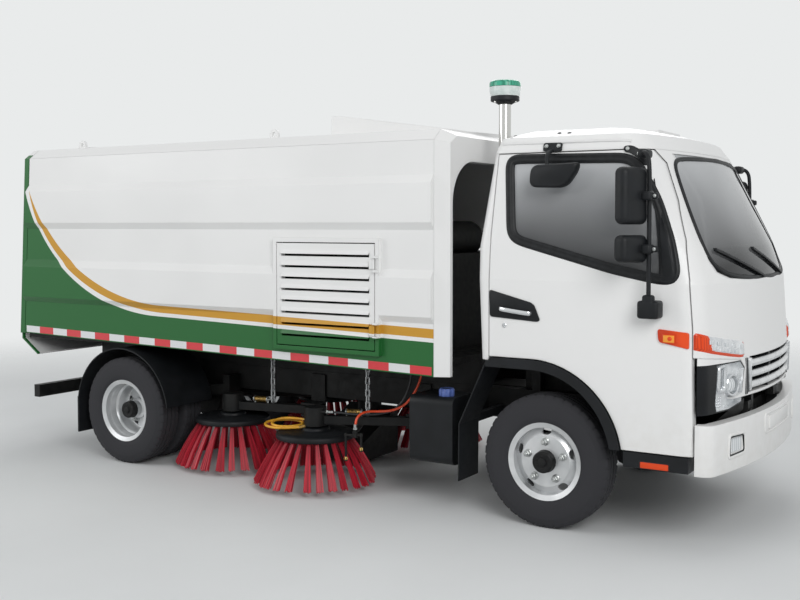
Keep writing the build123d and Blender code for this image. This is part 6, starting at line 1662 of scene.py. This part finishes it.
class SWEEPER_OT_cab_trim(bpy.types.Operator):
    """Fits the roof plugs, drip mouldings, step treads and step lamps to the cab"""
    bl_idname = "sweeper.cab_trim"
    bl_label = "Cab trim"

    def execute(self, context):
        roof = skin("cab_roof")
        for side, sign in SIDES:
            bm = bmesh.new()
            for x, y in ((1.345, 0.780), (1.408, 0.784), (1.693, 0.793), (1.756, 0.798)):
                spot, normal = seat(roof, (x, sign * y, 2.6), (0, 0, -1))
                domed(bm, spot, normal, 0.0125, 0.005)
            piece(f"roof_plugs_{side}", bm, "cab", "flap_plastic", "window_rubber")
            bm = bmesh.new()
            line = ((1.380, 2.211), (1.45, 2.211), (1.548, 2.210), (1.70, 2.209), (1.854, 2.208),
                    (1.97, 2.208), (2.088, 2.206), (2.150, 2.198))
            points, ups = zip(*(beside(roof, x, z, sign) for x, z in line))
            swept(bm, points, [(-0.009, -0.002), (0.009, -0.002), (0.009, 0.005), (0.005, 0.009),
                               (-0.001, 0.009), (-0.004, 0.003), (-0.009, 0.003)], up=ups)
            piece(f"drip_moulding_{side}", bm, "cab", "white_paint", "coach_enamel")
            step = skin("cab_trim")
            bm = bmesh.new()
            y = beside(step, 2.33, 0.452, sign)[0].y
            block(bm, (2.253, y - sign * 0.004, 0.435), (2.409, y + sign * 0.006, 0.469), 0.005, 3, paint=0)
            block(bm, (2.246, y - sign * 0.004, 0.430), (2.416, y + sign * 0.002, 0.474), 0.003, 2, paint=1)
            for k in range(26):
                x = 2.166 + 0.013 * k
                top, _ = seat(step, (x, y - sign * 0.022, 0.62), (0, 0, -1))
                swept(bm, [top + Vector((0, sign * 0.014, -0.001)),
                           top + Vector((0, -sign * 0.030, -0.001))],
                      [(-0.005, 0.0), (0.005, 0.0), (0.0, 0.008)], up=[Vector((0, 0, 1))] * 2, paint=1)
            piece(f"step_lamp_{side}", bm, "cab", "clear_lens", "amber_acrylic", "window_rubber",
                  smooth=25.0)
        return {"FINISHED"}


class SWEEPER_OT_grille_slats(bpy.types.Operator):
    """Lays bright slats over the black grille and the satin strips beside the headlamps"""
    bl_idname = "sweeper.grille_slats"
    bl_label = "Grille slats"

    def execute(self, context):
        front = skin("grille", "cab_front")
        bm = bmesh.new()
        blade = [(-0.019, -0.004), (0.019, -0.004), (0.020, 0.004), (0.013, 0.013), (0.002, 0.017),
                 (-0.011, 0.012), (-0.018, 0.004)]
        for z, reach in ((0.854, 0.456), (0.915, 0.464), (0.976, 0.470)):
            points, ups = zip(*(ahead(front, reach * (k / 16.0 - 1.0), z) for k in range(33)))
            swept(bm, points, blade, up=ups)
        for sign in (-1.0, 1.0):
            strip = [(0.512, 1.004), (0.492, 1.012), (0.474, 1.004), (0.454, 0.836), (0.466, 0.822),
                     (0.482, 0.828)]
            points = [ahead(front, sign * y, z)[0] for y, z in rounded(strip, 0.012, 4)]
            plate(bm, points, 0.016, (1, 0, 0), 1, 0.005)
            # A thin black plate beside each strip: painted shade that stands in for the dark gap there.
            painted_gap_shade = [(0.536, 1.010), (0.512, 1.012), (0.484, 0.832), (0.504, 0.808), (0.524, 0.808)]
            points = [ahead(front, sign * y, z)[0] for y, z in painted_gap_shade]
            plate(bm, points, 0.006, (1, 0, 0), 2, 0.001)
        piece("grille_slats", bm, "cab", "grille_plastic", "grille_moulding", "lamp_reflector",
              "black_acrylic")
        return {"FINISHED"}


class SWEEPER_OT_bumper_trim(bpy.types.Operator):
    """Lays the blank plate with its rim and the fog-lamp surrounds on the bumper's face"""
    bl_idname = "sweeper.bumper_trim"
    bl_label = "Bumper trim"

    def execute(self, context):
        front = skin("front_bumper", "chassis_lamps")
        bm = bmesh.new()
        rim = rounded([(-0.300, 0.668), (-0.300, 0.560), (0.300, 0.560), (0.300, 0.668)], 0.024, 6)
        self.lay(bm, front, rim, 0.007, 0)
        blank = rounded([(-0.236, 0.652), (-0.236, 0.576), (0.236, 0.576), (0.236, 0.652)], 0.010, 3)
        points = [ahead(front, y, z)[0] for y, z in blank]
        middle = ahead(front, 0.0, 0.61)[0].x - min(p.x for p in points)
        plate(bm, points, middle + 0.003, (1, 0, 0), 0, 0.002)
        for sign in (-1.0, 1.0):
            around = rounded([(sign * 0.800, 0.500), (sign * 0.600, 0.506), (sign * 0.612, 0.618),
                              (sign * 0.790, 0.624)], 0.022, 5)
            self.lay(bm, front, around, 0.009, 0)
            # A black bead inside each surround: painted shade that stands in for the shaded recess round the
            # fog lamp.
            inner = rounded([(sign * 0.784, 0.512), (sign * 0.616, 0.516), (sign * 0.624, 0.606),
                             (sign * 0.778, 0.610)], 0.014, 5)
            self.lay(bm, front, inner, 0.005, 1)
        piece("bumper_trim", bm, "chassis", "white_paint", "coach_enamel", "black_acrylic")
        return {"FINISHED"}

    def lay(self, bm, front, outline, thick, paint):
        """A rounded bead laid along an outline on the bumper's face."""
        line = [(Vector((0.0, y, z)), Vector((1, 0, 0))) for y, z in outline]
        points, ups = zip(*(ahead(front, spot.y, spot.z) for spot, _ in evenly(line, 0.02)))
        swept(bm, points, ring_section(thick, 10), closed=True, up=ups, paint=paint)


class SWEEPER_OT_wheel_nuts(bpy.types.Operator):
    """Fits nuts, hub caps and valves to the wheels"""
    bl_idname = "sweeper.wheel_nuts"
    bl_label = "Wheel nuts"

    def dish(self, bm, at, axis):
        """The stepped well of the outer rear rim, from its disc out to its lip."""
        steps = [(0.014, 0.152), (0.016, 0.160), (0.024, 0.168), (0.040, 0.173), (0.086, 0.175),
                 (0.094, 0.178), (0.102, 0.186), (0.106, 0.1885), (0.150, 0.1895), (0.156, 0.192),
                 (0.162, 0.195), (0.196, 0.1955)]
        back = [(along, radius + 0.0012) for along, radius in reversed(steps)]
        spun(bm, steps + back, at, axis, 72, closed=True, paint=2)

    def on_wheel(self, x, y, radius, degrees):
        """A point at a radius and an angle about the axle."""
        angle = math.radians(degrees)
        return Vector((x + radius * math.cos(angle), y, AXLE_Z + radius * math.sin(angle)))

    def nut(self, bm, at, axis):
        """A wheel nut on its cone, with the end of the stud."""
        spun(bm, [(-0.001, 0.0), (-0.001, 0.024), (0.004, 0.0235), (0.008, 0.019), (0.008, 0.0)], at, axis,
             24)
        spun(bm, [(0.008, 0.0), (0.008, 0.0185), (0.028, 0.0185), (0.030, 0.016), (0.030, 0.0)], at, axis, 6)
        spun(bm, [(0.030, 0.0), (0.030, 0.011), (0.040, 0.011), (0.043, 0.008), (0.043, 0.0)], at, axis, 16)

    def execute(self, context):
        circle = context.scene.sweeper.nut_circle
        front = ("front", FRONT_AXLE_X, FRONT_RIM_Y + 0.066, FRONT_RIM_Y + 0.112, 0.0605)
        rear = ("rear", REAR_AXLE_X, REAR_RIM_Y + 0.012, REAR_RIM_Y + 0.175, 0.0575)
        for end, x, face, hub_face, hub_radius in (front, rear):
            for side, sign in SIDES:
                bm = bmesh.new()
                axis = Vector((0, sign, 0))
                for k in range(5):
                    self.nut(bm, self.on_wheel(x, sign * face, circle, 90.0 + 72.0 * k), axis)
                hub = (x, sign * hub_face, AXLE_Z)
                spun(bm, [(-0.046, hub_radius + 0.006), (-0.040, hub_radius + 0.004),
                          (-0.004, hub_radius + 0.002), (0.002, hub_radius - 0.004), (0.003, 0.044),
                          (0.0015, 0.040), (0.0015, 0.0)], hub, axis, 40, paint=1)
                hex_bolt(bm, (x, sign * (hub_face - 0.002), AXLE_Z), axis, 0.044, 0.012, 1)
                for k in range(6):
                    spot = self.on_wheel(x, sign * (hub_face + 0.001), 0.036, 60.0 * k + 30.0)
                    domed(bm, spot, axis, 0.005, 0.003, 10, 1)
                if end == "rear":
                    self.dish(bm, (x, sign * REAR_RIM_Y, AXLE_Z), axis)
                valve = self.on_wheel(x, sign * (face - 0.020), 0.196, 62.0)
                swept(bm, [valve, valve + axis * 0.034], ring_section(0.0045, 10))
                piece(f"wheel_nuts_{end}_{side}", bm, f"wheel_{end}_{side}", "wheel_silver", "zinc_plate",
                      "chassis_paint", "wheel_enamel", smooth=30.0)
        return {"FINISHED"}


class SWEEPER_OT_tank_caps(bpy.types.Operator):
    """Screws the lobed cap on the additive tank and the cap on the fuel tank"""
    bl_idname = "sweeper.tank_caps"
    bl_label = "Tank caps"

    def execute(self, context):
        bm = bmesh.new()

        def lobes(step, along, radius):
            return along, radius * (1.0 + 0.06 * math.cos(step * math.pi / 4.0)) if 0.030 < radius else radius

        spun(bm, [(0.690, 0.0), (0.690, 0.044), (0.694, 0.047), (0.738, 0.046), (0.745, 0.041),
                  (0.747, 0.034), (0.743, 0.028), (0.743, 0.0)], (0.980, -0.840, 0.0), (0, 0, 1), 64,
             bend=lobes)
        piece("additive_cap", bm, "chassis", "flap_plastic", "blue_polyethylene")
        bm = bmesh.new()
        spun(bm, [(0.692, 0.0), (0.692, 0.050), (0.696, 0.052), (0.722, 0.051), (0.727, 0.046),
                  (0.727, 0.0)], (0.920, 0.840, 0.0), (0, 0, 1), 48)
        block(bm, (0.880, 0.832, 0.724), (0.960, 0.848, 0.737), 0.005, 3)
        piece("fuel_cap", bm, "chassis", "flap_plastic", "moulded_polypropylene")
        return {"FINISHED"}


class SWEEPER_PT_panel(bpy.types.Panel):
    """Lists the sweeper's pieces"""
    bl_idname = "SWEEPER_PT_panel"
    bl_label = "Street sweeper"
    bl_space_type = "VIEW_3D"
    bl_region_type = "UI"
    bl_category = "Sweeper"

    def draw(self, context):
        for name in SweeperSettings.__annotations__:
            self.layout.prop(context.scene.sweeper, name)
        for operator in OPERATORS:
            self.layout.operator(operator.bl_idname)


OPERATORS = (SWEEPER_OT_stage, SWEEPER_OT_paintwork, SWEEPER_OT_tyres, SWEEPER_OT_brushes,
             SWEEPER_OT_marking_tape, SWEEPER_OT_glazing, SWEEPER_OT_mirrors, SWEEPER_OT_lamps,
             SWEEPER_OT_beacon, SWEEPER_OT_seats, SWEEPER_OT_hoses, SWEEPER_OT_arm_springs,
             SWEEPER_OT_door_trim, SWEEPER_OT_cab_trim, SWEEPER_OT_grille_slats, SWEEPER_OT_bumper_trim,
             SWEEPER_OT_wheel_nuts, SWEEPER_OT_tank_caps)


def register():
    for each in (SweeperSettings, *OPERATORS, SWEEPER_PT_panel):
        bpy.utils.register_class(each)
    bpy.types.Scene.sweeper = bpy.props.PointerProperty(type=SweeperSettings)


def unregister():
    del bpy.types.Scene.sweeper
    for each in reversed((SweeperSettings, *OPERATORS, SWEEPER_PT_panel)):
        bpy.utils.unregister_class(each)


def main():
    register()
    for each in OPERATORS:
        group, name = each.bl_idname.split(".")
        getattr(getattr(bpy.ops, group), name)()


if __name__ == "__main__":
    main()
